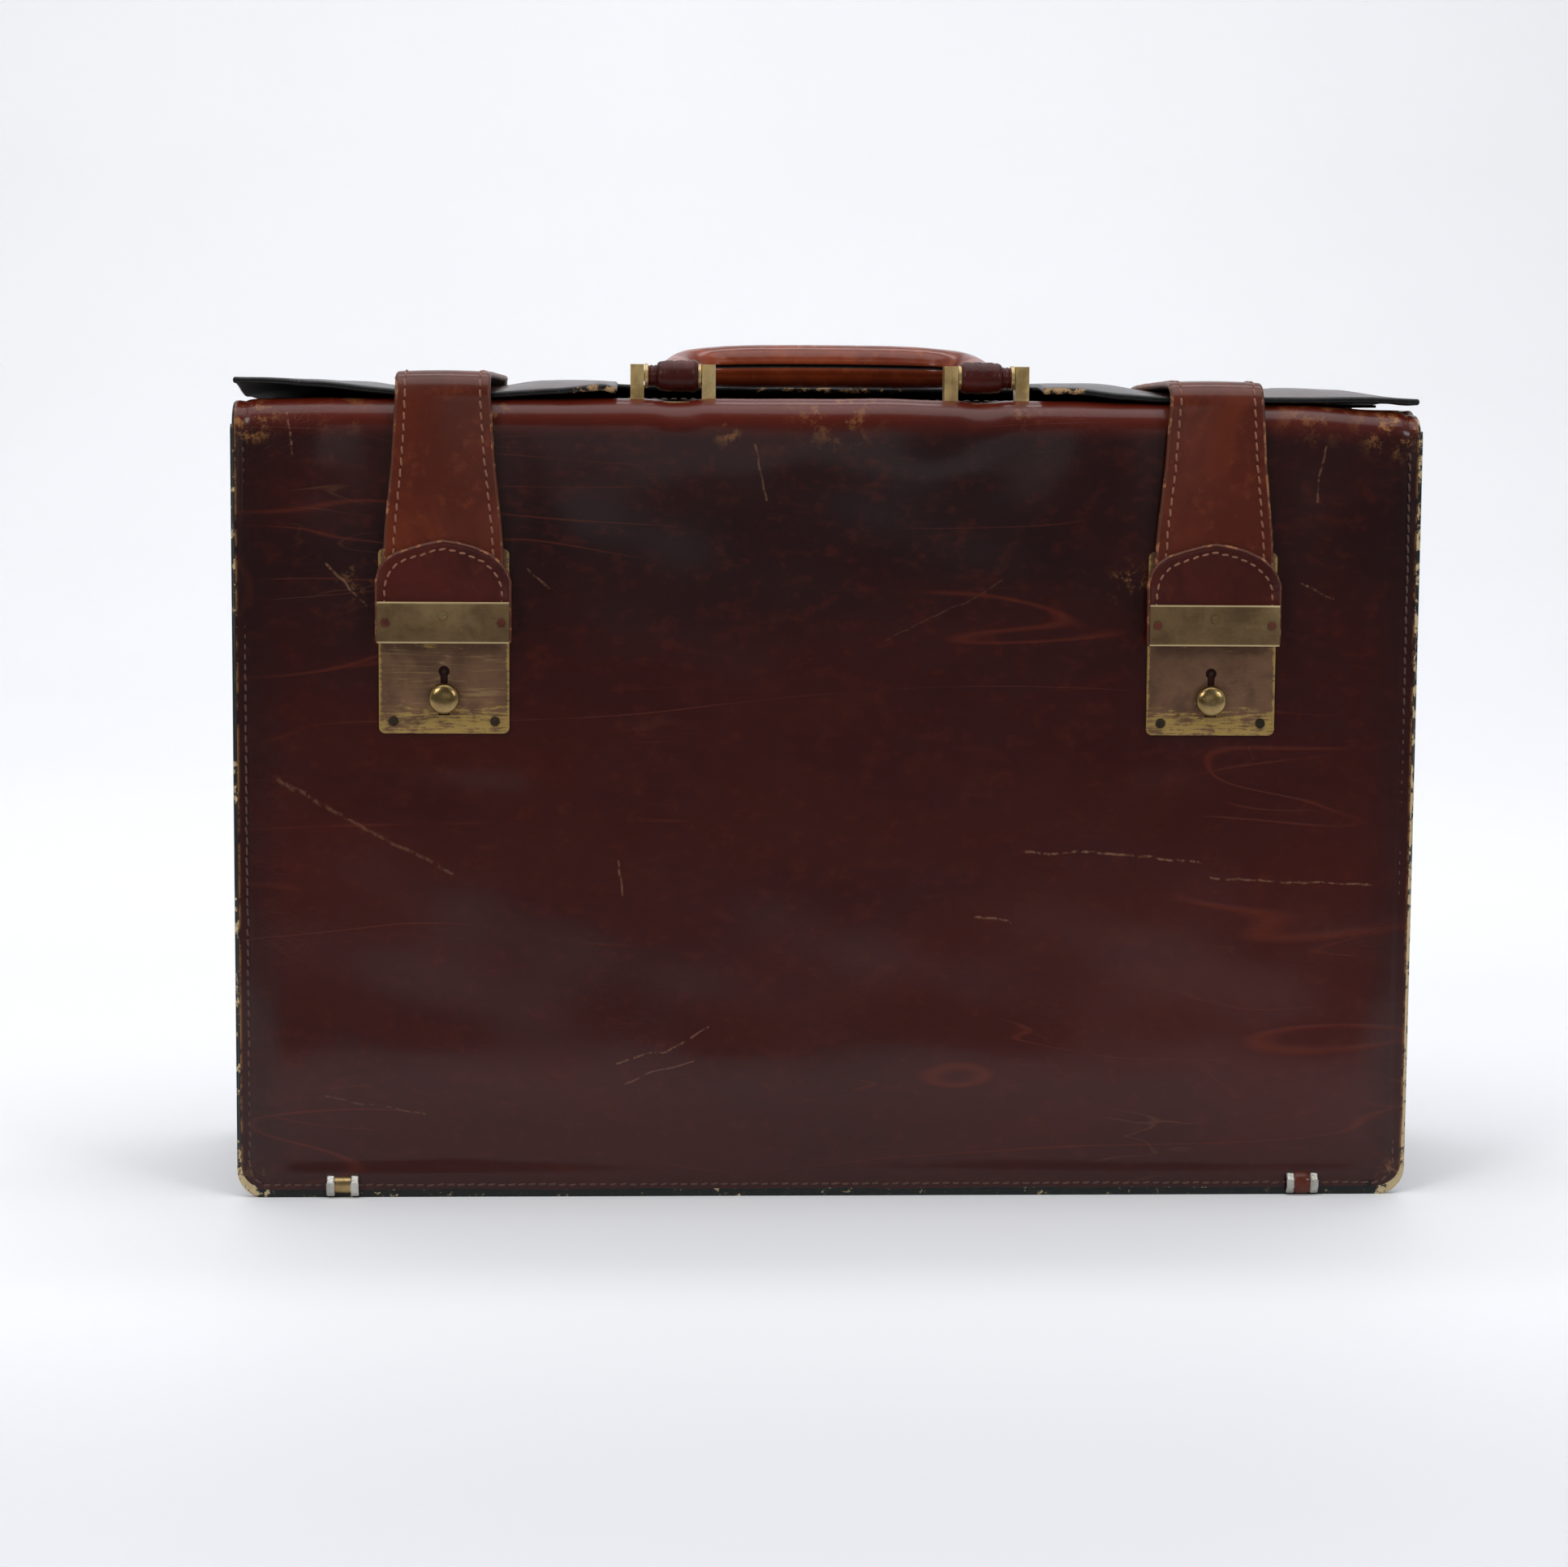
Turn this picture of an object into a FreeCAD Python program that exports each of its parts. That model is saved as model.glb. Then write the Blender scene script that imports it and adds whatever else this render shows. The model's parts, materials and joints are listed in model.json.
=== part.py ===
import FreeCAD, Part
import os
import Sketcher

# Leather briefcase with a full-width flap, two strap-and-hasp locks and a folding handle.
# Row frame: +X to the right, +Y to the back, +Z up. The origin is on the floor, midway
# between the two gussets and midway between the front and back panels.

V = FreeCAD.Vector
doc = FreeCAD.newDocument("briefcase")

DIMENSIONS = {
    # case
    "case_width": 440, "case_depth": 130, "case_top": 296,
    "hide": 2.4, "board": 2.0, "cloth": 0.8, "fold_radius": 10, "corner_radius": 10.5,
    "seam_inset": 5, "flange": 2.2, "bottom_rise": 3, "bottom_half": 206, "wall_top": 291,
    "gusset_top": 293.2,
    "board_bottom": 8, "board_top": 280, "rail_back": 28, "rail_height": 12,
    "divider_front": 1.2, "divider_top": 262,
    # flap
    "flap_gap": 0.3, "flap_half": 219, "flap_front": 60, "flap_hinge_gap": 2.3,
    "notch_half": 79.5, "notch_back": 13, "flap_board_front": 52, "flap_board_half": 205,
    # handle
    "panel_half": 78.5, "panel_front": 43, "panel_back": 11.5, "panel_thick": 2.6,
    "bracket_inner": 42.5, "bracket_outer": 74, "bracket_front": 58, "bracket_back": 46,
    "bracket_plate": 1.5, "post_width": 5, "post_height": 13.8, "post_half_depth": 4.5,
    "pin_rise": 11.1, "pin_radius": 2, "eye_clearance": 0.06, "eye_radius": 3.2,
    "washer_radius": 4.5, "washer_thick": 1.2, "sleeve_radius": 6, "sleeve_length": 14,
    "neck_radius": 3.9, "grip_reach": 42, "grip_bend": 22, "grip_end_radius": 5.6,
    "grip_mid_radius": 7.9, "core_radius": 2.6, "grip_span": 56.5,
    # straps and hasps
    "strap_offset": 142.5, "strap_half": 16.5, "drop_half": 18, "strap_thick": 2.6,
    "drop_gap": 0.5, "bend_axis": 303.6, "drop_top": 302.2, "drop_bottom": 209.4,
    "bridge_front": 65.7, "bridge_back": 59, "anchor_top": 288, "anchor_bottom": 170,
    "tab_half": 24.2, "tab_top": 246, "tab_shoulder": 240, "tab_thick": 2,
    "hasp_half": 24.15, "hasp_bottom": 208.8, "hasp_top": 223.9, "hasp_thick": 1.6,
    "tongue_half": 6, "tongue_bottom": 212, "tongue_top": 215, "tongue_tip": 60,
    # locks
    "plate_half": 24, "plate_bottom": 175, "plate_top": 243.3, "plate_thick": 1.2,
    "plate_corner": 2.3, "box_half": 15.5, "box_bottom": 180.5, "box_top": 236,
    "box_back": 57.5, "box_wall": 0.8, "keyhole": 198, "keyhole_radius": 2.05,
    "key_slot_half": 1.35, "knob_height": 188, "knob_radius": 5.75, "knob_travel": 4,
    "stem_radius": 1.8, "rivet_spread": 18.7, "rivet_low": 179.5, "rivet_high": 238.8,
    "rivet_radius": 1.1, "rivet_head": 1.8, "hasp_rivet_spread": 21.3, "hasp_rivet_head": 1.5,
    # feet
    "foot_offset": 181, "foot_axis": 63.5, "foot_radius": 4.7, "foot_half": 6,
    "foot_ring": 3, "foot_core": 3.35, "foot_wrap": 4.4,
}


def make_sheet():
    sheet = doc.addObject("Spreadsheet::Sheet", "Dims")
    for row, (alias, value) in enumerate(DIMENSIONS.items(), start=1):
        sheet.set(f"A{row}", alias)
        sheet.set(f"B{row}", str(value))
        sheet.setAlias(f"B{row}", alias)
    doc.recompute()
    return sheet


dims = make_sheet()
nodes = {}


def bound(text):
    """Expression text with every alias word read from the sheet."""
    return " ".join("Dims." + word if word in DIMENSIONS else word for word in text.split())


def node(name, thing):
    """Name an object as one of the briefcase's pieces."""
    thing.Label = name
    nodes[name] = thing
    return thing


# ---------------------------------------------------------------- primitives bound to the sheet

def block(name, x, y, z):
    """Box between bounds given as (low, high) expressions on each axis."""
    box = doc.addObject("Part::Box", name)
    for size, axis, (low, high) in (("Length", "x", x), ("Width", "y", y), ("Height", "z", z)):
        box.setExpression(size, bound(f"( {high} ) - ( {low} )"))
        box.setExpression(f".Placement.Base.{axis}", bound(low))
    return box


TURNS = {"x": FreeCAD.Rotation(V(0, 1, 0), 90), "y": FreeCAD.Rotation(V(1, 0, 0), -90),
         "z": FreeCAD.Rotation()}


def rod(name, axis, start, radius, length):
    """Cylinder from the start point (three expressions) along +axis."""
    cylinder = doc.addObject("Part::Cylinder", name)
    cylinder.Placement = FreeCAD.Placement(V(), TURNS[axis])
    cylinder.setExpression("Radius", bound(radius))
    cylinder.setExpression("Height", bound(length))
    for letter, value in zip("xyz", start):
        cylinder.setExpression(f".Placement.Base.{letter}", bound(value))
    return cylinder


def fuse(name, things):
    union = doc.addObject("Part::MultiFuse", name)
    union.Shapes = things
    return union


def cut(name, base, tools):
    result = doc.addObject("Part::Cut", name)
    result.Base = base
    result.Tool = tools[0] if len(tools) == 1 else fuse(name + "_tools", tools)
    return result


# ---------------------------------------------------------------- sketched bodies

PLANES = {"XY": "XY_Plane", "XZ": "XZ_Plane", "YZ": "YZ_Plane"}


def sketch_outline(body, name, plane, points, offset="0"):
    """Closed polygon whose corners are expressions, on one of the body's origin planes."""
    sketch = body.newObject("Sketcher::SketchObject", name)
    base = [f for f in body.Origin.OriginFeatures if f.Role == PLANES[plane]][0]
    sketch.AttachmentSupport = [(base, "")]
    sketch.MapMode = "FlatFace"
    sketch.setExpression(".AttachmentOffset.Base.z", bound(offset))
    count = len(points)
    for index in range(count):
        sketch.addGeometry(Part.LineSegment(V(index, index ** 2, 0),
                                            V(index + 1, (index + 1) ** 2, 0)), False)
    for index, point in enumerate(points):
        sketch.addConstraint(Sketcher.Constraint("Coincident", index, 2, (index + 1) % count, 1))
        for kind, value in zip(("DistanceX", "DistanceY"), point):
            row = sketch.addConstraint(Sketcher.Constraint(kind, -1, 1, index, 1, 1.0 + index))
            sketch.setExpression(f"Constraints[{row}]", bound(value))
    return sketch


def pad(body, name, sketch, length):
    feature = body.newObject("PartDesign::Pad", name)
    feature.Profile = sketch
    feature.setExpression("Length", bound(length))
    doc.recompute()
    body.Tip = feature
    return feature


def round_edges(body, name, radius, wanted):
    """Fillet the edges of the body's tip for which wanted(edge) is true."""
    tip = body.Tip
    edges = [f"Edge{number}" for number, edge in enumerate(tip.Shape.Edges, start=1)
             if len(edge.Vertexes) == 2 and wanted(edge)]
    feature = body.newObject("PartDesign::Fillet", name)
    feature.Base = (tip, edges)
    feature.setExpression("Radius", bound(radius))
    doc.recompute()
    body.Tip = feature
    return feature


def runs_along(edge, axis):
    first, last = (vertex.Point for vertex in edge.Vertexes)
    step = last - first
    others = [getattr(step, letter) for letter in "xyz" if letter != axis]
    return abs(getattr(step, axis)) > 0.5 and max(abs(value) for value in others) < 1e-6


def edge_near(axis, **place):
    """Test for an edge along axis that passes the given places, in millimetres."""
    def test(edge):
        point = edge.Vertexes[0].Point
        return runs_along(edge, axis) and all(
            abs(getattr(point, letter) - value) < 0.01 for letter, value in place.items())
    return test


def new_body(name):
    return doc.addObject("PartDesign::Body", name)


def slab(name, plane, points, low, high):
    """Polygon on a plane, padded from low to high along that plane's normal axis."""
    body = new_body(name)
    if plane == "XZ":
        sketch = sketch_outline(body, name + "_outline", plane, points, f"0 - ( {high} )")
    else:
        sketch = sketch_outline(body, name + "_outline", plane, points, low)
    pad(body, name + "_pad", sketch, f"( {high} ) - ( {low} )")
    return body


# ---------------------------------------------------------------- case shell

def foot_notches(name, side):
    """Clearance blocks for the two feet on the front (-) or back (+) bottom edge."""
    blocks = []
    for index, hand in enumerate(("- 1", "1")):
        blocks.append(block(f"{name}_{index}",
                            (f"{hand} * foot_offset - foot_half - 0.4",
                             f"{hand} * foot_offset + foot_half + 0.4"),
                            (f"{side} * foot_axis - 5.2", f"{side} * foot_axis + 5.2"),
                            ("- 1", "foot_radius * 2 + 0.3")))
    return blocks


def lock_windows(name):
    """Blocks for the two lock boxes, through the front panel, its board and its lining."""
    return [block(f"{name}_{index}",
                  (f"{hand} * strap_offset - box_half", f"{hand} * strap_offset + box_half"),
                  ("- case_depth / 2 - 1", "- box_back + 3"),
                  ("box_bottom", "box_top"))
            for index, hand in enumerate(("- 1", "1"))]


def lock_rivet_rods(name, hand, radius, front, back):
    rods = []
    for index, spread in enumerate(("- rivet_spread", "rivet_spread")):
        for level in ("rivet_low", "rivet_high"):
            rods.append(rod(f"{name}_{index}_{level}", "y",
                            (f"{hand} * strap_offset + {spread}", front, level),
                            radius, f"( {back} ) - ( {front} )"))
    return rods


def rivet_holes(name):
    holes = []
    for index, hand in enumerate(("- 1", "1")):
        holes += lock_rivet_rods(f"{name}_{index}", hand, "rivet_radius",
                                 "- case_depth / 2 - 3", "- box_back + 3")
    return holes


def make_front_panel():
    """Front leather: up the face, rolled back over the top rail."""
    profile = [("- case_depth / 2", "0"), ("- case_depth / 2", "case_top"),
               ("- rail_back", "case_top"), ("- rail_back", "case_top - hide"),
               ("- case_depth / 2 + hide", "case_top - hide"),
               ("- case_depth / 2 + hide", "0")]
    body = slab("front_panel_body", "YZ", profile, "- case_width / 2", "case_width / 2")
    front = -dims.case_depth / 2
    round_edges(body, "front_fold", "fold_radius",
                edge_near("x", y=front, z=dims.case_top))
    round_edges(body, "front_fold_inside", "fold_radius - hide",
                edge_near("x", y=front + dims.hide, z=dims.case_top - dims.hide))
    round_edges(body, "front_corners", "corner_radius",
                lambda edge: runs_along(edge, "y") and edge.Vertexes[0].Point.z < 1)
    tools = foot_notches("front_foot", "- 1") + lock_windows("front_lock")
    tools += rivet_holes("front_rivet") + bracket_rivet_rods("front", "rivet_radius")
    node("front_panel", cut("front_panel", body, tools))


def make_back_panel():
    outline = [("- case_width / 2", "0"), ("case_width / 2", "0"),
               ("case_width / 2", "wall_top"), ("- case_width / 2", "wall_top")]
    body = slab("back_panel_body", "XZ", outline, "case_depth / 2 - hide", "case_depth / 2")
    round_edges(body, "back_corners", "corner_radius",
                lambda edge: runs_along(edge, "y") and edge.Vertexes[0].Point.z < 1)
    node("back_panel", cut("back_panel", body, foot_notches("back_foot", "1")))


def make_gusset(name, hand):
    """Side leather, bent under at the bottom, with flanges turned out to meet the panels."""
    out, low = f"{hand} * ( case_width / 2 - seam_inset )", "bottom_rise"
    skin = [(out, "gusset_top"), (out, low), (f"{hand} * bottom_half", low),
            (f"{hand} * bottom_half", "bottom_rise + hide"),
            (f"{hand} * ( case_width / 2 - seam_inset - hide )", "bottom_rise + hide"),
            (f"{hand} * ( case_width / 2 - seam_inset - hide )", "gusset_top")]
    rim = [(f"{hand} * case_width / 2", "wall_top"), (f"{hand} * case_width / 2", "0"),
           (f"{hand} * bottom_half", "0"), (f"{hand} * bottom_half", low),
           (out, low), (out, "wall_top")]
    inside = "( case_depth / 2 - hide )"
    shell = slab(name + "_skin", "XZ", skin, f"- {inside}", inside)
    sign = -1 if hand.startswith("-") else 1
    corner_x = sign * (dims.case_width / 2 - dims.seam_inset)
    round_edges(shell, name + "_bend", "corner_radius - seam_inset",
                edge_near("y", x=corner_x, z=dims.bottom_rise))
    flanges = []
    for face, (start, end) in (("front", (f"- {inside}", f"- {inside} + flange")),
                               ("back", (f"{inside} - flange", inside))):
        part = slab(f"{name}_{face}_flange", "XZ", rim, start, end)
        round_edges(part, f"{name}_{face}_outer", "corner_radius",
                    edge_near("y", x=sign * dims.case_width / 2, z=0))
        round_edges(part, f"{name}_{face}_inner", "corner_radius - seam_inset",
                    edge_near("y", x=corner_x, z=dims.bottom_rise))
        flanges.append(part)
    fold_room = block(name + "_fold_room", ("- case_width / 2 - 1", "case_width / 2 + 1"),
                      ("- case_depth / 2", "- case_depth / 2 + fold_radius + 1"),
                      ("case_top - fold_radius - 1", "case_top"))
    node(name, cut(name, fuse(name + "_solid", [shell] + flanges), [fold_room]))


def make_bottom():
    inside = "( case_depth / 2 - hide )"
    profile = [(f"- {inside}", "0"), (f"- {inside} + flange", "0"),
               (f"- {inside} + flange", "bottom_rise"), (f"{inside} - flange", "bottom_rise"),
               (f"{inside} - flange", "0"), (inside, "0"),
               (inside, "bottom_rise + hide"), (f"- {inside}", "bottom_rise + hide")]
    body = slab("bottom_body", "YZ", profile, "- bottom_half", "bottom_half")
    tools = foot_notches("bottom_front", "- 1") + foot_notches("bottom_back", "1")
    node("bottom_panel", cut("bottom_panel", body, tools))
    node("bottom_board", block(
        "bottom_board", ("- bottom_half + 2", "bottom_half - 2"),
        ("- foot_axis + 5.6", "foot_axis - 5.6"),
        ("bottom_rise + hide", "bottom_rise + hide + 2.2")))


def make_boards():
    """Stiff boards and cloth linings inside the front and back leather, and the divider."""
    front, back = "- case_depth / 2 + hide", "case_depth / 2 - hide"
    inner = "( case_width / 2 - seam_inset - hide - 0.6 )"
    tall = ("foot_radius * 2 + 0.8", "board_top")
    wide = (f"- {inner}", inner)
    base = block("front_board_base", wide, (front, f"{front} + board"), tall)
    node("front_board", cut("front_board", base,
                            lock_windows("board_lock") + rivet_holes("board_rivet")))
    base = block("front_lining_base", wide, (f"{front} + board", f"{front} + board + cloth"), tall)
    node("front_lining", cut("front_lining", base,
                             lock_windows("lining_lock") + rivet_holes("lining_rivet")))
    node("back_board", block("back_board", wide, (f"{back} - board", back), tall))
    node("back_lining", block("back_lining", wide,
                              (f"{back} - board - cloth", f"{back} - board"), tall))
    node("divider", block("divider", ("- case_width / 2 + 8.2", "case_width / 2 - 8.2"),
                          ("- divider_front", "divider_front"),
                          ("bottom_rise + hide + 2.2", "divider_top")))


def make_top_rail():
    """Wooden rail under the rolled leather; it carries the handle."""
    front = "- case_depth / 2 + hide"
    profile = [(front, "case_top - hide - rail_height"), (front, "case_top - hide"),
               ("- rail_back", "case_top - hide"), ("- rail_back", "case_top - hide - rail_height")]
    inner = "( case_width / 2 - seam_inset - hide - 0.6 )"
    body = slab("top_rail_body", "YZ", profile, f"- {inner}", inner)
    round_edges(body, "top_rail_round", "fold_radius - hide",
                edge_near("x", y=-dims.case_depth / 2 + dims.hide, z=dims.case_top - dims.hide))
    node("top_rail", cut("top_rail", body, bracket_rivet_rods("rail", "rivet_radius")))


def make_handle_panel():
    node("handle_panel", block("handle_panel", ("- panel_half", "panel_half"),
                               ("- panel_front", "panel_back"),
                               ("case_top", "case_top + panel_thick")))


# ---------------------------------------------------------------- handle

def bracket_rivet_rods(name, radius):
    """Two rivets under each handle sleeve, through the bracket, the leather and the rail."""
    rods = []
    for index, hand in enumerate(("- 1", "1")):
        for place in ("5", "- 5"):
            rods.append(rod(f"{name}_bracket_rivet_{index}_{len(rods)}", "z",
                            (f"{hand} * ( bracket_inner + bracket_outer ) / 2 + {place}",
                             "- ( bracket_front + bracket_back ) / 2",
                             "case_top - hide - rail_height - 1"),
                            radius, "hide + rail_height + bracket_plate + 1"))
    return rods


def make_bracket(name, hand):
    """U bracket: a base plate and two square posts bored for the pin."""
    depth = ("- bracket_front", "- bracket_back")
    centre = "( bracket_front + bracket_back ) / 2"
    ends = (("bracket_inner", "bracket_inner + post_width"),
            ("bracket_outer - post_width", "bracket_outer"))

    def across(low, high):
        return (low, high) if hand == "1" else (f"- ( {high} )", f"- ( {low} )")

    pieces = [block(name + "_base", across("bracket_inner", "bracket_outer"), depth,
                    ("case_top", "case_top + bracket_plate"))]
    for index, (low, high) in enumerate(ends):
        pieces.append(block(f"{name}_post_{index}", across(low, high),
                            (f"- {centre} - post_half_depth", f"- {centre} + post_half_depth"),
                            ("case_top", "case_top + bracket_plate + post_height")))
    low, _ = across("bracket_inner - 1", "bracket_outer + 1")
    bore = rod(name + "_bore", "x", (low, f"- {centre}", "case_top + pin_rise"),
               "pin_radius", "bracket_outer - bracket_inner + 2")
    holes = bracket_rivet_rods(name, "rivet_radius")
    node(name, cut(name, fuse(name + "_solid", pieces), [bore] + holes))


def make_bracket_rivets():
    shafts = bracket_rivet_rods("shaft", "rivet_radius")
    heads = []
    for index, hand in enumerate(("- 1", "1")):
        for place in ("5", "- 5"):
            heads.append(rod(f"bracket_rivet_head_{len(heads)}", "z",
                             (f"{hand} * ( bracket_inner + bracket_outer ) / 2 + {place}",
                              "- ( bracket_front + bracket_back ) / 2",
                              "case_top + bracket_plate"), "rivet_head", "0.7"))
    node("bracket_rivets", fuse("bracket_rivets", shafts + heads))


def mirrored_rods(name, low, high, radius):
    """Coaxial rods on the pin axis at both handle ends, between two distances from the middle."""
    centre = ("- ( bracket_front + bracket_back ) / 2", "case_top + pin_rise")
    return [rod(f"{name}_left", "x", (f"- ( {high} )",) + centre, radius, f"( {high} ) - ( {low} )"),
            rod(f"{name}_right", "x", (low,) + centre, radius, f"( {high} ) - ( {low} )")]


EYE_BORE = "pin_radius + eye_clearance"
EYE_LOW = "bracket_inner + post_width + 0.3 + washer_thick"
EYE_HIGH = "bracket_outer - post_width - 0.3 - washer_thick"


def make_handle_pins():
    node("handle_pins", fuse("handle_pins", mirrored_rods(
        "pin", "bracket_inner", "bracket_outer", "pin_radius")))


def make_handle_washers():
    rings = mirrored_rods("washer_inner", "bracket_inner + post_width + 0.3",
                          EYE_LOW, "washer_radius")
    rings += mirrored_rods("washer_outer", EYE_HIGH,
                           "bracket_outer - post_width - 0.3", "washer_radius")
    bore = mirrored_rods("washer_bore", "bracket_inner", "bracket_outer", EYE_BORE)
    node("handle_washers", cut("handle_washers", fuse("handle_washers_solid", rings), bore))


def grip_path(inset):
    """Line of the folded-back grip: out of one eye, across, and into the other."""
    span = dims.grip_span
    start = -(dims.bracket_front + dims.bracket_back) / 2 + inset
    reach = start - inset + dims.grip_reach
    bend = dims.grip_bend
    level = dims.case_top + dims.pin_rise
    corner = bend * (1 - 2 ** -0.5)
    points = [V(-span, start, level), V(-span, reach - bend, level),
              V(-span + corner, reach - corner, level), V(-span + bend, reach, level),
              V(span - bend, reach, level), V(span - corner, reach - corner, level),
              V(span, reach - bend, level), V(span, start, level)]
    edges = [Part.makeLine(points[0], points[1]),
             Part.Arc(points[1], points[2], points[3]).toShape(),
             Part.makeLine(points[3], points[4]),
             Part.Arc(points[4], points[5], points[6]).toShape(),
             Part.makeLine(points[6], points[7])]
    return Part.Wire(edges), points


def circle_at(point, direction, radius):
    return Part.Wire([Part.makeCircle(radius, point, direction)])


def make_handle_core():
    """Steel loop with a bored eye at each end."""
    wire, points = grip_path(0)
    loop = wire.makePipeShell([circle_at(points[0], V(0, 1, 0), dims.core_radius)], True, True)
    core = doc.addObject("Part::Feature", "handle_core_loop")
    core.Shape = loop
    core.Placement = FreeCAD.Placement()
    eyes = mirrored_rods("eye", EYE_LOW, EYE_HIGH, "eye_radius")
    bore = mirrored_rods("eye_bore", "bracket_inner", "bracket_outer", EYE_BORE)
    node("handle_core", cut("handle_core", fuse("handle_core_solid", [core] + eyes), bore))


def make_handle_grip():
    """Padded leather grip, thickest in the middle, around the steel loop."""
    wire, points = grip_path(dims.sleeve_radius - 0.6)
    end, middle = dims.grip_end_radius, dims.grip_mid_radius
    centre = (points[3] + points[4]) / 2
    sections = [circle_at(points[0], V(0, 1, 0), end), circle_at(points[3], V(1, 0, 0), end + 0.9),
                circle_at(centre, V(1, 0, 0), middle), circle_at(points[4], V(1, 0, 0), end + 0.9),
                circle_at(points[7], V(0, -1, 0), end)]
    skin = doc.addObject("Part::Feature", "handle_grip_skin")
    skin.Shape = wire.makePipeShell(sections, True, True)
    skin.Placement = FreeCAD.Placement()
    node("handle_grip", cut("handle_grip", skin, [nodes["handle_core"], nodes["handle_sleeves"]]))


def make_handle_sleeves():
    """Leather rolled round each eye: a thick barrel, then a thin neck at the outer end."""
    split = f"{EYE_LOW} + sleeve_length"
    solid = mirrored_rods("barrel", EYE_LOW, split, "sleeve_radius")
    solid += mirrored_rods("neck", split, EYE_HIGH, "neck_radius")
    node("handle_sleeves", cut("handle_sleeves", fuse("handle_sleeves_solid", solid),
                               [nodes["handle_core"]]
                               + mirrored_rods("sleeve_bore", "bracket_inner", "bracket_outer",
                                               "eye_radius")))


# ---------------------------------------------------------------- flap

def flap_outline(front, half, notch_half, notch_back, back):
    return [(f"- {half}", f"- {front}"), (f"- {notch_half}", f"- {front}"),
            (f"- {notch_half}", notch_back), (notch_half, notch_back),
            (notch_half, f"- {front}"), (half, f"- {front}"), (half, back), (f"- {half}", back)]


def make_flap():
    """Leather flap, its stiff board and its lining, notched round the handle panel."""
    under = "case_top + flap_gap"
    back = "( case_depth / 2 - flap_hinge_gap )"
    outer = flap_outline("flap_front", "flap_half", "notch_half", "notch_back", back)
    inner = flap_outline("flap_board_front", "flap_board_half", "( notch_half + 8 )",
                         "( notch_back + 8 )", f"( {back} - 8 )")
    skin = slab("flap_leather_body", "XY", outer, f"{under} + cloth", f"{under} + cloth + hide")
    room = slab("flap_board_room", "XY", inner, f"{under} + cloth - 1", f"{under} + cloth + 1")
    node("flap_leather", cut("flap_leather", skin, [room]))
    node("flap_board", slab("flap_board_body", "XY", inner, f"{under} + cloth",
                            f"{under} + cloth + 1"))
    lining = flap_outline("flap_front + 0.6", "( flap_half - 0.6 )", "( notch_half + 0.6 )",
                          "( notch_back + 0.6 )", f"( {back} - 0.6 )")
    lining[0] = (lining[0][0], "- ( flap_front - 0.6 )")
    for index in (1, 4, 5):
        lining[index] = (lining[index][0], "- ( flap_front - 0.6 )")
    node("flap_lining", slab("flap_lining_body", "XY", lining, under, f"{under} + cloth"))


# ---------------------------------------------------------------- straps and hasps

DROP_BACK = "( - case_depth / 2 - plate_thick - drop_gap )"
DROP_FRONT = f"( {DROP_BACK} - strap_thick )"
TAB_FRONT = f"( {DROP_FRONT} - tab_thick )"
HASP_FRONT = f"( {TAB_FRONT} - hasp_thick )"


def around(hand, half):
    return (f"{hand} * strap_offset - {half}", f"{hand} * strap_offset + {half}")


def make_strap(side, hand):
    """Strap: stitched to the back, arched over the flap, and hanging down the front."""
    node(f"strap_anchor_{side}", block(
        f"strap_anchor_{side}", around(hand, "strap_half"),
        ("case_depth / 2", "case_depth / 2 + strap_thick"), ("anchor_bottom", "anchor_top")))
    rest = "case_top + flap_gap + cloth + hide"
    low = [("- bridge_front", "bend_axis - 1.3"), ("- bridge_front + 14", "bend_axis + 1"),
           ("- 8", "bend_axis - 0.6"), ("26", rest), ("bridge_back", rest)]
    profile = low + [(y, f"{z} + strap_thick") for y, z in reversed(low)]
    start, end = around(hand, "strap_half")
    node(f"strap_bridge_{side}", slab(f"strap_bridge_{side}_body", "YZ", profile, start, end))
    tongue_room = block(f"tongue_room_{side}", around(hand, "tongue_half"),
                        (f"{TAB_FRONT} - 1", "- case_depth / 2"), ("tongue_bottom", "tongue_top"))
    drop = block(f"strap_drop_{side}_base", around(hand, "drop_half"), (DROP_FRONT, DROP_BACK),
                 ("drop_bottom", "drop_top"))
    studs = hasp_rivet_rods(f"drop_stud_{side}", hand, "0.9", TAB_FRONT, DROP_BACK)
    node(f"strap_drop_{side}", cut(f"strap_drop_{side}", drop, [tongue_room, studs[1]]))
    middle = f"{hand} * strap_offset"
    outline = [(f"{middle} - tab_half", "drop_bottom"), (f"{middle} + tab_half", "drop_bottom"),
               (f"{middle} + tab_half", "tab_shoulder - 7"),
               (f"{middle} + tab_half - 6", "tab_shoulder"),
               (f"{middle} + 11", "tab_shoulder + 3"), (middle, "tab_top"),
               (f"{middle} - 11", "tab_shoulder + 3"), (f"{middle} - tab_half + 6", "tab_shoulder"),
               (f"{middle} - tab_half", "tab_shoulder - 7")]
    tab = slab(f"strap_tab_{side}_body", "XZ", outline, TAB_FRONT, DROP_FRONT)
    room = block(f"tab_tongue_room_{side}", around(hand, "tongue_half"),
                 (f"{TAB_FRONT} - 1", "- case_depth / 2"), ("tongue_bottom", "tongue_top"))
    studs = hasp_rivet_rods(f"tab_stud_{side}", hand, "0.9", TAB_FRONT, DROP_BACK)
    node(f"strap_tab_{side}", cut(f"strap_tab_{side}", tab, [room] + studs))


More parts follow.
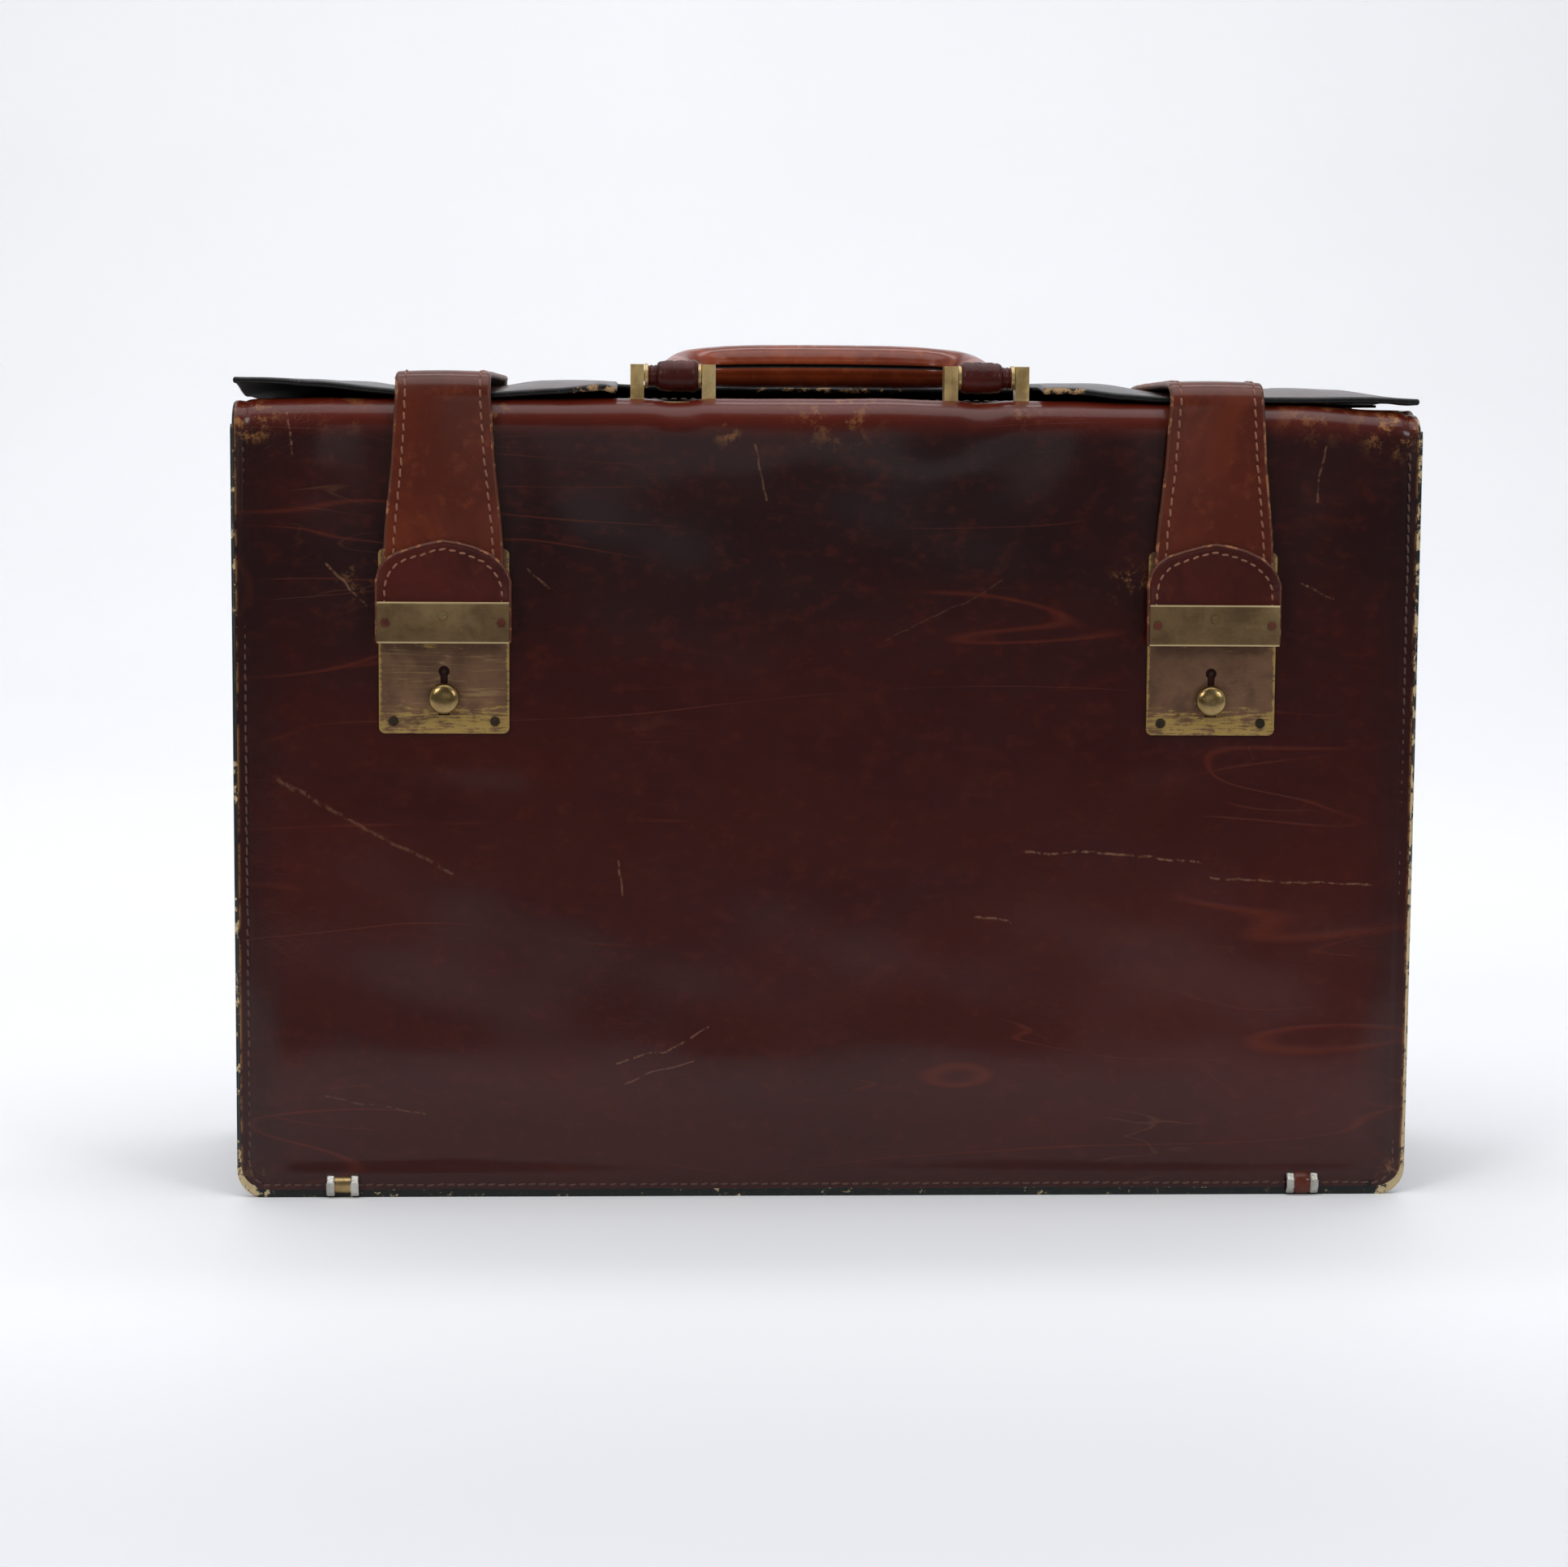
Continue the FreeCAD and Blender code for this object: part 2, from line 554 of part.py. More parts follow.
def hasp_rivet_rods(name, hand, radius, front, back):
    """One rivet at each end of the hasp bar and one in the middle."""
    level = "( hasp_bottom + hasp_top ) / 2"
    return [rod(f"{name}_{index}", "y",
                (f"{hand} * strap_offset + {spread}", front, f"{level} + {rise}"),
                radius, f"( {back} ) - ( {front} )")
            for index, (spread, rise) in enumerate((("- hasp_rivet_spread", "0"), ("0", "2.5"),
                                                    ("hasp_rivet_spread", "0")))]


def make_hasp(side, hand):
    """Brass bar with a slotted tongue at the back that drops over the lock's bolt."""
    bar = block(f"hasp_{side}_bar", around(hand, "hasp_half"), (HASP_FRONT, TAB_FRONT),
                ("hasp_bottom", "hasp_top"))
    tongue = block(f"hasp_{side}_tongue", around(hand, "tongue_half"),
                   (TAB_FRONT, "- tongue_tip"), ("tongue_bottom", "tongue_top"))
    eye = block(f"hasp_{side}_eye", around(hand, "( tongue_half - 2.5 )"),
                ("- tongue_tip - 4.2", "- tongue_tip - 1.2"), ("tongue_bottom - 1", "tongue_top + 1"))
    holes = hasp_rivet_rods(f"hasp_{side}_hole", hand, "0.9", f"{HASP_FRONT} - 1", TAB_FRONT)
    solid = fuse(f"hasp_{side}_solid", [bar, tongue])
    node(f"hasp_{side}", cut(f"hasp_{side}", solid, [eye] + holes))
    ends = hasp_rivet_rods(f"hasp_shaft_{side}", hand, "0.9", HASP_FRONT, DROP_FRONT)
    heads = hasp_rivet_rods(f"hasp_head_{side}", hand, "hasp_rivet_head",
                            f"{HASP_FRONT} - 0.5", HASP_FRONT)
    node(f"hasp_rivets_{side}", fuse(f"hasp_rivets_{side}", ends + heads))


# ---------------------------------------------------------------- locks

def make_lock(side, hand):
    middle = f"{hand} * strap_offset"
    face = "( - case_depth / 2 - plate_thick )"
    outline = [(f"{middle} - plate_half", "plate_bottom"), (f"{middle} + plate_half", "plate_bottom"),
               (f"{middle} + plate_half", "plate_top"), (f"{middle} - plate_half", "plate_top")]
    plate = slab(f"lock_plate_{side}_body", "XZ", outline, face, "- case_depth / 2")
    round_edges(plate, f"lock_plate_{side}_round", "plate_corner",
                lambda edge: runs_along(edge, "y"))
    through = (f"{face} - 1", "- case_depth / 2 + 1")
    openings = [
        rod(f"keyhole_{side}", "y", (middle, f"{face} - 1", "keyhole"), "keyhole_radius", "4"),
        block(f"key_slot_{side}", around(hand, "key_slot_half"), through,
              ("knob_height + 4", "keyhole")),
        block(f"stem_slot_{side}", around(hand, "( stem_radius + 0.3 )"), through,
              ("knob_height - knob_travel - stem_radius - 0.4", "knob_height + stem_radius + 0.4")),
        block(f"tongue_slot_{side}", around(hand, "( tongue_half + 0.8 )"), through,
              ("tongue_bottom - 2.2", "tongue_top + 12.5"))]
    openings += lock_rivet_rods(f"plate_hole_{side}", hand, "rivet_radius",
                                f"{face} - 1", "- case_depth / 2 + 1")
    node(f"lock_plate_{side}", cut(f"lock_plate_{side}", plate, openings))

    box = block(f"lock_case_{side}_outer", around(hand, "box_half"),
                ("- case_depth / 2", "- box_back"), ("box_bottom", "box_top"))
    room = block(f"lock_case_{side}_room", around(hand, "( box_half - box_wall )"),
                 ("- case_depth / 2 - 1", "- box_back - box_wall"),
                 ("box_bottom + box_wall", "box_top - box_wall"))
    node(f"lock_case_{side}", cut(f"lock_case_{side}", box, [room]))
    node(f"lock_key_post_{side}", rod(f"lock_key_post_{side}", "y",
                                      (middle, f"{face} + 0.2", "keyhole"), "0.75",
                                      f"- box_back - box_wall - {face} - 0.2"))

    inner = "- case_depth / 2 + hide + board + cloth"
    backing = block(f"lock_backing_{side}_base", around(hand, "( rivet_spread + 3 )"),
                    (inner, f"{inner} + 1"), ("rivet_low - 3", "rivet_high + 3"))
    window = block(f"lock_backing_{side}_window", around(hand, "box_half"),
                   (f"{inner} - 1", f"{inner} + 2"), ("box_bottom", "box_top"))
    holes = lock_rivet_rods(f"backing_hole_{side}", hand, "rivet_radius",
                            f"{inner} - 1", f"{inner} + 2")
    node(f"lock_backing_{side}", cut(f"lock_backing_{side}", backing, [window] + holes))
    shafts = lock_rivet_rods(f"lock_rivet_{side}", hand, "rivet_radius",
                             f"{face} - 0.3", f"{inner} + 1.5")
    tails = lock_rivet_rods(f"lock_rivet_tail_{side}", hand, "rivet_head",
                            f"{inner} + 1", f"{inner} + 1.6")
    heads = lock_rivet_rods(f"lock_rivet_head_{side}", hand, "rivet_head",
                            f"{face} - 0.3", face)
    node(f"lock_rivets_{side}", fuse(f"lock_rivets_{side}", shafts + tails + heads))


def make_knob(side, hand):
    """Thumb slide: a domed knob on a stem, and the bolt plate it carries inside the lock."""
    middle = f"{hand} * strap_offset"
    face = "( - case_depth / 2 - plate_thick )"
    bolt_front = "( - case_depth / 2 + 1.4 )"
    disc = rod(f"knob_{side}_disc", "y", (middle, f"{face} - 2.2", "knob_height"),
               "knob_radius", "2")
    dome = doc.addObject("Part::Cone", f"knob_{side}_dome")
    dome.Placement = FreeCAD.Placement(V(), FreeCAD.Rotation(V(1, 0, 0), 90))
    dome.setExpression("Radius1", bound("knob_radius"))
    dome.setExpression("Radius2", bound("knob_radius * 0.62"))
    dome.Height = 1.3
    for letter, value in zip("xyz", (middle, f"{face} - 2.2", "knob_height")):
        dome.setExpression(f".Placement.Base.{letter}", bound(value))
    stem = rod(f"knob_{side}_stem", "y", (middle, f"{face} - 0.5", "knob_height"),
               "stem_radius", f"{bolt_front} - {face} + 0.5")
    node(f"lock_knob_{side}", fuse(f"lock_knob_{side}", [disc, dome, stem]))
    plate = block(f"bolt_{side}_plate", around(hand, "5"), (bolt_front, f"{bolt_front} + 1.6"),
                  ("knob_height - 2", "tongue_bottom - 1.4"))
    slot = block(f"bolt_{side}_slot", around(hand, "1.6"),
                 (f"{bolt_front} - 1", f"{bolt_front} + 3"), ("keyhole - 2", "keyhole + 6"))
    node(f"lock_bolt_{side}", cut(f"lock_bolt_{side}", plate, [slot]))


# ---------------------------------------------------------------- feet

def foot_rods(name, radius, low, high):
    """Coaxial rods on the four foot axes; low and high are distances from each foot's middle."""
    rods = []
    for side in ("- 1", "1"):
        for hand in ("- 1", "1"):
            rods.append(rod(f"{name}_{len(rods)}", "x",
                            (f"{hand} * foot_offset + ( {low} )", f"{side} * foot_axis",
                             "foot_radius"), radius, f"( {high} ) - ( {low} )"))
    return rods


def make_feet():
    """Spool feet: two rings on a core with a tang under the bottom, and a leather wrap."""
    cores = foot_rods("foot_core", "foot_core", "- foot_half", "foot_half")
    tangs = []
    for side in ("- 1", "1"):
        for hand in ("- 1", "1"):
            ends = sorted((f"{side} * ( foot_axis - 1 )", f"{side} * ( foot_axis - 14 )"),
                          key=lambda text: (side == "1") == text.endswith("1 )"))
            tangs.append(block(f"foot_tang_{len(tangs)}",
                               (f"{hand} * foot_offset - 2.6", f"{hand} * foot_offset + 2.6"),
                               tuple(ends), ("bottom_rise - 1.4", "bottom_rise")))
    node("foot_cores", fuse("foot_cores", cores + tangs))
    rings = foot_rods("foot_ring_a", "foot_radius", "- foot_half", "- foot_half + foot_ring")
    rings += foot_rods("foot_ring_b", "foot_radius", "foot_half - foot_ring", "foot_half")
    hubs = foot_rods("foot_hub", "foot_core", "- foot_half - 1", "foot_half + 1")
    node("foot_rings", cut("foot_rings", fuse("foot_rings_solid", rings), hubs))
    wraps = foot_rods("foot_wrap", "foot_wrap", "- foot_half + foot_ring", "foot_half - foot_ring")
    doc.removeObject(wraps.pop(0).Name)      # the front left foot has lost its leather
    node("foot_wraps", cut("foot_wraps", fuse("foot_wraps_solid", wraps), [nodes["foot_cores"]]))


# ---------------------------------------------------------------- whole briefcase

def make_all():
    make_front_panel()
    make_back_panel()
    make_gusset("gusset_left", "- 1")
    make_gusset("gusset_right", "1")
    make_bottom()
    make_boards()
    make_top_rail()
    make_handle_panel()
    make_bracket("handle_bracket_left", "- 1")
    make_bracket("handle_bracket_right", "1")
    make_bracket_rivets()
    make_handle_pins()
    make_handle_washers()
    make_handle_core()
    make_handle_sleeves()
    make_handle_grip()
    make_flap()
    for side, hand in (("left", "- 1"), ("right", "1")):
        make_strap(side, hand)
        make_hasp(side, hand)
        make_lock(side, hand)
        make_knob(side, hand)
    make_feet()
    doc.recompute()


def check_all():
    for thing in doc.Objects:
        if {"Invalid", "Error"} & set(thing.State):
            raise RuntimeError(f"{thing.Name} failed: {thing.State}")
    for name, thing in nodes.items():
        shape = thing.Shape
        if shape.isNull() or not shape.isValid() or not shape.Solids:
            raise RuntimeError(f"{name} is not a valid solid")


def write_all():
    os.makedirs("parts", exist_ok=True)
    for name, thing in nodes.items():
        thing.Shape.exportStep(f"parts/{name}.step")
        print(name, len(thing.Shape.Solids), round(thing.Shape.Volume, 1))


make_all()
check_all()
write_all()
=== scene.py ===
import json
import math
import bmesh
import bpy
import numpy as np
from mathutils import Euler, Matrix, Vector

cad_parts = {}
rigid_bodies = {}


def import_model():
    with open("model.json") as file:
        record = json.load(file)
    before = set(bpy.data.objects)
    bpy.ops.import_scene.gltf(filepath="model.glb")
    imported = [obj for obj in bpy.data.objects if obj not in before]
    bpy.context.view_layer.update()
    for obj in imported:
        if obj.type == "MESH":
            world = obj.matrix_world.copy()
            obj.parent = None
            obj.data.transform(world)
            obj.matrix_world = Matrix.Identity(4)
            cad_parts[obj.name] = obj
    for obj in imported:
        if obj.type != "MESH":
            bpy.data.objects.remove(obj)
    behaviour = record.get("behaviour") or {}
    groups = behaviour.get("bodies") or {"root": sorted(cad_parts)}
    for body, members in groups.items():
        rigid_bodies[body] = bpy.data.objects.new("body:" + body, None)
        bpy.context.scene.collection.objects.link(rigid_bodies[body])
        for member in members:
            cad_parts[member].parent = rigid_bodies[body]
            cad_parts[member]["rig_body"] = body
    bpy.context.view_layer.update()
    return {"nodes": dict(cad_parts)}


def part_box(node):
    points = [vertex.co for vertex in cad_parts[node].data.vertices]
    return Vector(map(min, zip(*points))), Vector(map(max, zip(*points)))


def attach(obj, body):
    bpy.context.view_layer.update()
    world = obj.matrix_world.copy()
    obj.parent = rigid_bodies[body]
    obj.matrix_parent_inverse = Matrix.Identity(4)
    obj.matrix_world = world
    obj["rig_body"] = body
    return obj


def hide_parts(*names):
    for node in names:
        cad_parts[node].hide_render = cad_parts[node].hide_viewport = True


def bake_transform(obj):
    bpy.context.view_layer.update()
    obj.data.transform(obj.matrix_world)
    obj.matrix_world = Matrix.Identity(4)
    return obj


# Leather briefcase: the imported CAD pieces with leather, thread, brass and nickel modelled round
# them. Lengths are in millimetres in this script and turned into metres when a mesh is built.

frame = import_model()

MM = 0.001
STITCH_SEED = 11
rng = np.random.default_rng(STITCH_SEED)


def box_mm(node):
    low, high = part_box(node)
    return np.array(low) / MM, np.array(high) / MM


# ------------------------------------------------------------------ sizes read from the frame

FRONT_LOW, FRONT_HIGH = box_mm("front_panel")
HALF_WIDTH = FRONT_HIGH[0]
FRONT = FRONT_LOW[1]
BACK = box_mm("back_panel")[1][1]
TOP = FRONT_HIGH[2]
RAIL_BACK = FRONT_HIGH[1]
PLATE_LOW, PLATE_HIGH = box_mm("lock_plate_right")
LOCK_X = (PLATE_LOW[0] + PLATE_HIGH[0]) / 2
FLAP_LOW, FLAP_HIGH = box_mm("flap_leather")
PANEL_LOW, PANEL_HIGH = box_mm("handle_panel")
PIN_LOW, PIN_HIGH = box_mm("handle_pins")
PIN_Y = (PIN_LOW[1] + PIN_HIGH[1]) / 2
PIN_Z = (PIN_LOW[2] + PIN_HIGH[2]) / 2

HIDE = 2.4        # thickness of the case's leather, then of the other pieces
FLAP_HIDE = 2.3
STRAP_HIDE = 2.5
TAB_HIDE = 2.1
FOLD = 10.0       # radius of the front's upper fold
CORNER = 10.5     # radius of the panels' lower corners
FOOT_X = 181.0    # the feet's distance from the middle


# ------------------------------------------------------------------ mesh tools

class Patch:
    """Vertices and faces gathered for one piece, each face with a material number."""

    def __init__(self):
        self.points, self.faces, self.finish, self.count = [], [], [], 0

    def add(self, points, faces, finish):
        points = np.asarray(points, float).reshape(-1, 3)
        faces = [tuple(int(i) + self.count for i in face) for face in faces]
        self.points.append(points)
        self.faces += faces
        self.finish += [finish] * len(faces) if isinstance(finish, int) else list(finish)
        self.count += len(points)

    def build(self, name, materials, sharp=40):
        mesh = bpy.data.meshes.new(name)
        mesh.from_pydata((np.concatenate(self.points) * MM).tolist(), [], self.faces)
        for material in materials:
            mesh.materials.append(material)
        mesh.polygons.foreach_set("material_index", self.finish)
        mesh.polygons.foreach_set("use_smooth", [True] * len(self.faces))
        mesh.set_sharp_from_angle(angle=math.radians(sharp))
        mesh.update()
        thing = bpy.data.objects.new(name, mesh)
        bpy.context.scene.collection.objects.link(thing)
        return thing


def unit(vectors):
    return vectors / np.maximum(np.linalg.norm(vectors, axis=-1, keepdims=True), 1e-9)


def grid(x, y, z):
    """Points of a surface from three arrays that broadcast together."""
    return np.stack(np.broadcast_arrays(x, y, z), 2)


def facing(points, axis, way):
    """Normals that all point along one axis, for a grid of points."""
    normals = np.zeros_like(points)
    normals[:, :, axis] = way
    return normals


def sheet(patch, outer, normals, thickness, keep=None, finishes=(0, 1, 2), bulge=0.42, open_end=False):
    """Leather of the given thickness behind a grid of outer points, with rounded edges.

    keep marks the grid's cells that are leather, so that notches can be left out.
    finishes are the material numbers of the outside, the cut edges and the inside.
    open_end leaves out the edge along the last row, where another sheet carries on."""
    rows, cols = outer.shape[:2]
    if keep is None:
        keep = np.ones((rows - 1, cols - 1), bool)
    inner = outer - normals * thickness
    index = np.arange(rows * cols).reshape(rows, cols)
    a, b = index[:-1, :-1][keep], index[:-1, 1:][keep]
    c, d = index[1:, 1:][keep], index[1:, :-1][keep]
    quads = np.stack([a, b, c, d], 1)
    flat, flat_normals = outer.reshape(-1, 3), normals.reshape(-1, 3)
    first = quads[len(quads) // 2]
    turn = np.cross(flat[first[1]] - flat[first[0]], flat[first[3]] - flat[first[0]])
    if turn @ flat_normals[first[0]] < 0:
        quads = quads[:, ::-1]
    patch_base = patch.count
    total = rows * cols
    points = np.concatenate([flat, inner.reshape(-1, 3)])
    faces = [tuple(q) for q in quads] + [tuple(q[::-1] + total) for q in quads]
    patch.add(points, faces, [finishes[0]] * len(quads) + [finishes[2]] * len(quads))
    edges = np.concatenate([quads[:, [0, 1]], quads[:, [1, 2]], quads[:, [2, 3]], quads[:, [3, 0]]])
    forward = {(int(p), int(q)) for p, q in edges}
    rim = [(p, q) for p, q in forward if (q, p) not in forward]
    if open_end:
        rim = [(p, q) for p, q in rim if min(p, q) < total - cols]
    rim.sort()
    outward = {}
    for p, q in rim:
        along = flat[q] - flat[p]
        side = np.cross(along, flat_normals[p] + flat_normals[q])
        side = side / max(np.linalg.norm(side), 1e-9)
        for k in (p, q):
            outward[k] = outward.get(k, 0) + side
    ring = {}
    levels = (0.1, 0.3, 0.5, 0.7, 0.9)
    extra = []
    for k in sorted(outward):
        side = outward[k] / max(np.linalg.norm(outward[k]), 1e-9)
        ring[k] = [k]
        for share in levels:
            swell = bulge * thickness * math.sin(math.pi * share) ** 0.6
            ring[k].append(2 * total + len(extra))
            extra.append(flat[k] - flat_normals[k] * thickness * share + side * swell)
        ring[k].append(k + total)
    strip = []
    for p, q in rim:
        for level in range(len(levels) + 1):
            strip.append((ring[q][level], ring[p][level], ring[p][level + 1], ring[q][level + 1]))
    patch.points.append(np.array(extra))
    patch.count += len(extra)
    patch.faces += [tuple(int(i) + patch_base for i in face) for face in strip]
    patch.finish += [finishes[1]] * len(strip)


def rounded_path(corners, radii, step):
    """Points about a step apart along a polyline whose inner corners are arcs."""
    corners = [np.array(c, float) for c in corners]
    path = [corners[0]]
    for before, corner, after, radius in zip(corners[:-2], corners[1:-1], corners[2:], radii):
        back, ahead = unit(before - corner), unit(after - corner)
        half = math.acos(np.clip(back @ ahead, -1, 1)) / 2
        run = radius / math.tan(half)
        centre = corner + unit(back + ahead) * radius / math.sin(half)
        start = corner + back * run - centre
        finish = corner + ahead * run - centre
        first, last = math.atan2(start[1], start[0]), math.atan2(finish[1], finish[0])
        sweep = (last - first + math.pi) % (2 * math.pi) - math.pi
        count = max(4, int(abs(sweep) * radius / min(step, 1.4)))
        for t in np.linspace(0, 1, count + 1):
            angle = first + sweep * t
            path.append(centre + radius * np.array([math.cos(angle), math.sin(angle)]))
    path.append(corners[-1])
    filled = [path[0]]
    for start, finish in zip(path[:-1], path[1:]):
        pieces = max(1, int(round(np.linalg.norm(finish - start) / step)))
        filled += [start + (finish - start) * t / pieces for t in range(1, pieces + 1)]
    filled = np.array(filled)
    gaps = np.linalg.norm(np.diff(filled, axis=0), axis=1)
    return filled[np.concatenate([[True], gaps > 1e-6])]


def path_normals(path, left):
    """Unit normals of a plane path, on its left side or on its right."""
    tangent = unit(np.gradient(path, axis=0))
    normal = np.stack([-tangent[:, 1], tangent[:, 0]], 1)
    return normal if left else -normal


def lengths(path):
    return np.concatenate([[0], np.cumsum(np.linalg.norm(np.diff(path, axis=0), axis=1))])


def smoothstep(low, high, value):
    t = np.clip((value - low) / (high - low), 0, 1)
    return t * t * (3 - 2 * t)


def hump(value, width):
    """Smooth bump, 1 where value is 0 and nearly 0 beyond twice the width."""
    return np.exp(-(value / width) ** 2)


def ring_faces(rows, sides):
    """Faces of a closed tube: the quads between its rings, then its two ends."""
    quads = [(r * sides + s, r * sides + (s + 1) % sides, (r + 1) * sides + (s + 1) % sides,
              (r + 1) * sides + s) for r in range(rows - 1) for s in range(sides)]
    return quads + [tuple(range(sides))[::-1], tuple(range((rows - 1) * sides, rows * sides))]


def sampled(places, run, values):
    """Rows of values at other distances along their line."""
    return np.stack([np.interp(places, run, values[:, k]) for k in range(values.shape[1])], 1)


def ripple(a, b, seed, waves):
    """Gentle uneven surface from a few slanted waves; waves are (wavelength, height) pairs."""
    local = np.random.default_rng(seed)
    total = np.zeros(np.broadcast(a, b).shape)
    for wavelength, height in waves:
        for _ in range(3):
            angle, phase = local.uniform(0, 2 * math.pi, 2)
            k = 2 * math.pi / (wavelength * local.uniform(0.8, 1.25))
            total += height / 3 * np.sin(k * (a * math.cos(angle) + b * math.sin(angle)) + phase)
    return total


def columns(half, corner, step):
    """Places across a panel, closer together in its rounded corners."""
    ends = half - corner + corner * np.sin(np.linspace(0, math.pi / 2, 10))
    middle = np.linspace(-(half - corner), half - corner, int(2 * (half - corner) / step) + 1)
    return np.concatenate([-ends[::-1], middle[1:-1], ends])


def stitches(patch, line, normals, finish, pitch=3.8, size=2.9, thick=0.8, sink=0.3, slant=7, holes=None):
    """A row of thread stitches along a line of points on a surface.

    holes is the material number of the dark awl hole between two stitches."""
    line = np.asarray(line, float)
    normals = unit(np.broadcast_to(np.asarray(normals, float), line.shape))
    run = lengths(line)
    count = int(run[-1] / pitch)
    tangent = np.gradient(line, run, axis=0)

    def frame_at(places):
        up, along = unit(sampled(places, run, normals)), unit(sampled(places, run, tangent))
        return sampled(places, run, line), up, along, unit(np.cross(up, along))

    place, up, along, across = frame_at((np.arange(count) + 0.5) * run[-1] / count)
    tilt = np.radians(slant + rng.normal(0, 3, count))[:, None]
    lean = along * np.cos(tilt) + across * np.sin(tilt)
    cross = unit(np.cross(up, lean))
    place = place + across * rng.normal(0, 0.08, count)[:, None]
    stations = np.array([-1, -0.8, -0.4, 0, 0.4, 0.8, 1])
    girth = np.array([0.45, 0.85, 1, 1.02, 1, 0.85, 0.45]) * thick / 2
    rise = thick * (0.5 - 0.55 * stations ** 4) - sink
    sides = 7
    angles = np.arange(sides) * 2 * math.pi / sides
    shape = np.array([(s * size / 2, g * math.cos(t), r + g * math.sin(t))
                      for s, g, r in zip(stations, girth, rise) for t in angles])
    scale = 1 + rng.normal(0, 0.05, count)
    points = (place[:, None] + lean[:, None] * shape[None, :, :1] * scale[:, None, None]
              + cross[:, None] * shape[None, :, 1:2] + up[:, None] * shape[None, :, 2:])
    faces = ring_faces(len(stations), sides)
    patch.add(points, [tuple(i + base for i in face)
                       for base in range(0, count * len(shape), len(shape)) for face in faces], finish)
    if holes is None:
        return
    # Each awl hole is a dark disc of painted shade.
    place, up, along, across = frame_at(np.arange(count + 1) * run[-1] / count)
    around = np.arange(8) * math.pi / 4
    rim = (place[:, None] + along[:, None] * np.cos(around)[None, :, None] * 0.62
           + across[:, None] * np.sin(around)[None, :, None] * 0.42 - up[:, None] * 0.1)
    points = np.concatenate([rim, (place + up * 0.09)[:, None]], 1)
    patch.add(points, [(9 * k + j, 9 * k + (j + 1) % 8, 9 * k + 8) for k in range(count + 1)
                       for j in range(8)], holes)


AXES = {"x": ((1, 0, 0), (0, 1, 0), (0, 0, 1)), "y": ((0, 1, 0), (0, 0, 1), (1, 0, 0))}


def lathe(patch, profile, origin, axis, finish, sides=40, phase=0.0):
    """Turned shape: profile is (distance along the axis, radius) pairs from end to end."""
    along, one, two = (np.array(v, float) for v in AXES[axis])
    angles = np.arange(sides) * 2 * math.pi / sides + phase
    origin = np.array(origin, float)
    points = np.array([origin + along * s + (one * math.cos(t) + two * math.sin(t)) * r
                       for s, r in profile for t in angles])
    patch.add(points, [face[::-1] for face in ring_faces(len(profile), sides)], finish)


def softened(node, material, width=0.25):
    """Copy of a metal CAD node with its sharp edges broken, standing in for the node."""
    source = frame["nodes"][node]
    work = bmesh.new()
    work.from_mesh(source.data)
    bmesh.ops.remove_doubles(work, verts=work.verts, dist=1e-6)
    bmesh.ops.dissolve_limit(work, angle_limit=math.radians(1.5), verts=work.verts, edges=work.edges)
    sharp = [e for e in work.edges if len(e.link_faces) == 2 and e.calc_face_angle(0) > math.radians(35)]
    bmesh.ops.bevel(work, geom=sharp, offset=width * MM, segments=2, profile=0.6, affect="EDGES",
                    clamp_overlap=True)
    bmesh.ops.triangulate(work, faces=[f for f in work.faces if len(f.verts) > 4])
    mesh = bpy.data.meshes.new(node + "_metal")
    work.to_mesh(mesh)
    work.free()
    mesh.materials.clear()
    mesh.materials.append(material)
    mesh.polygons.foreach_set("material_index", [0] * len(mesh.polygons))
    mesh.polygons.foreach_set("use_smooth", [True] * len(mesh.polygons))
    mesh.set_sharp_from_angle(angle=math.radians(32))
    thing = bpy.data.objects.new(node + "_metal", mesh)
    bpy.context.scene.collection.objects.link(thing)
    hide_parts(node)
    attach(thing, source["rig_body"])
    return thing


# ------------------------------------------------------------------ material tools

def rgb(red, green, blue):
    """Linear colour from 0-255 screen values."""
    def one(value):
        value = value / 255
        return value / 12.92 if value <= 0.04045 else ((value + 0.055) / 1.055) ** 2.4
    return (one(red), one(green), one(blue), 1.0)


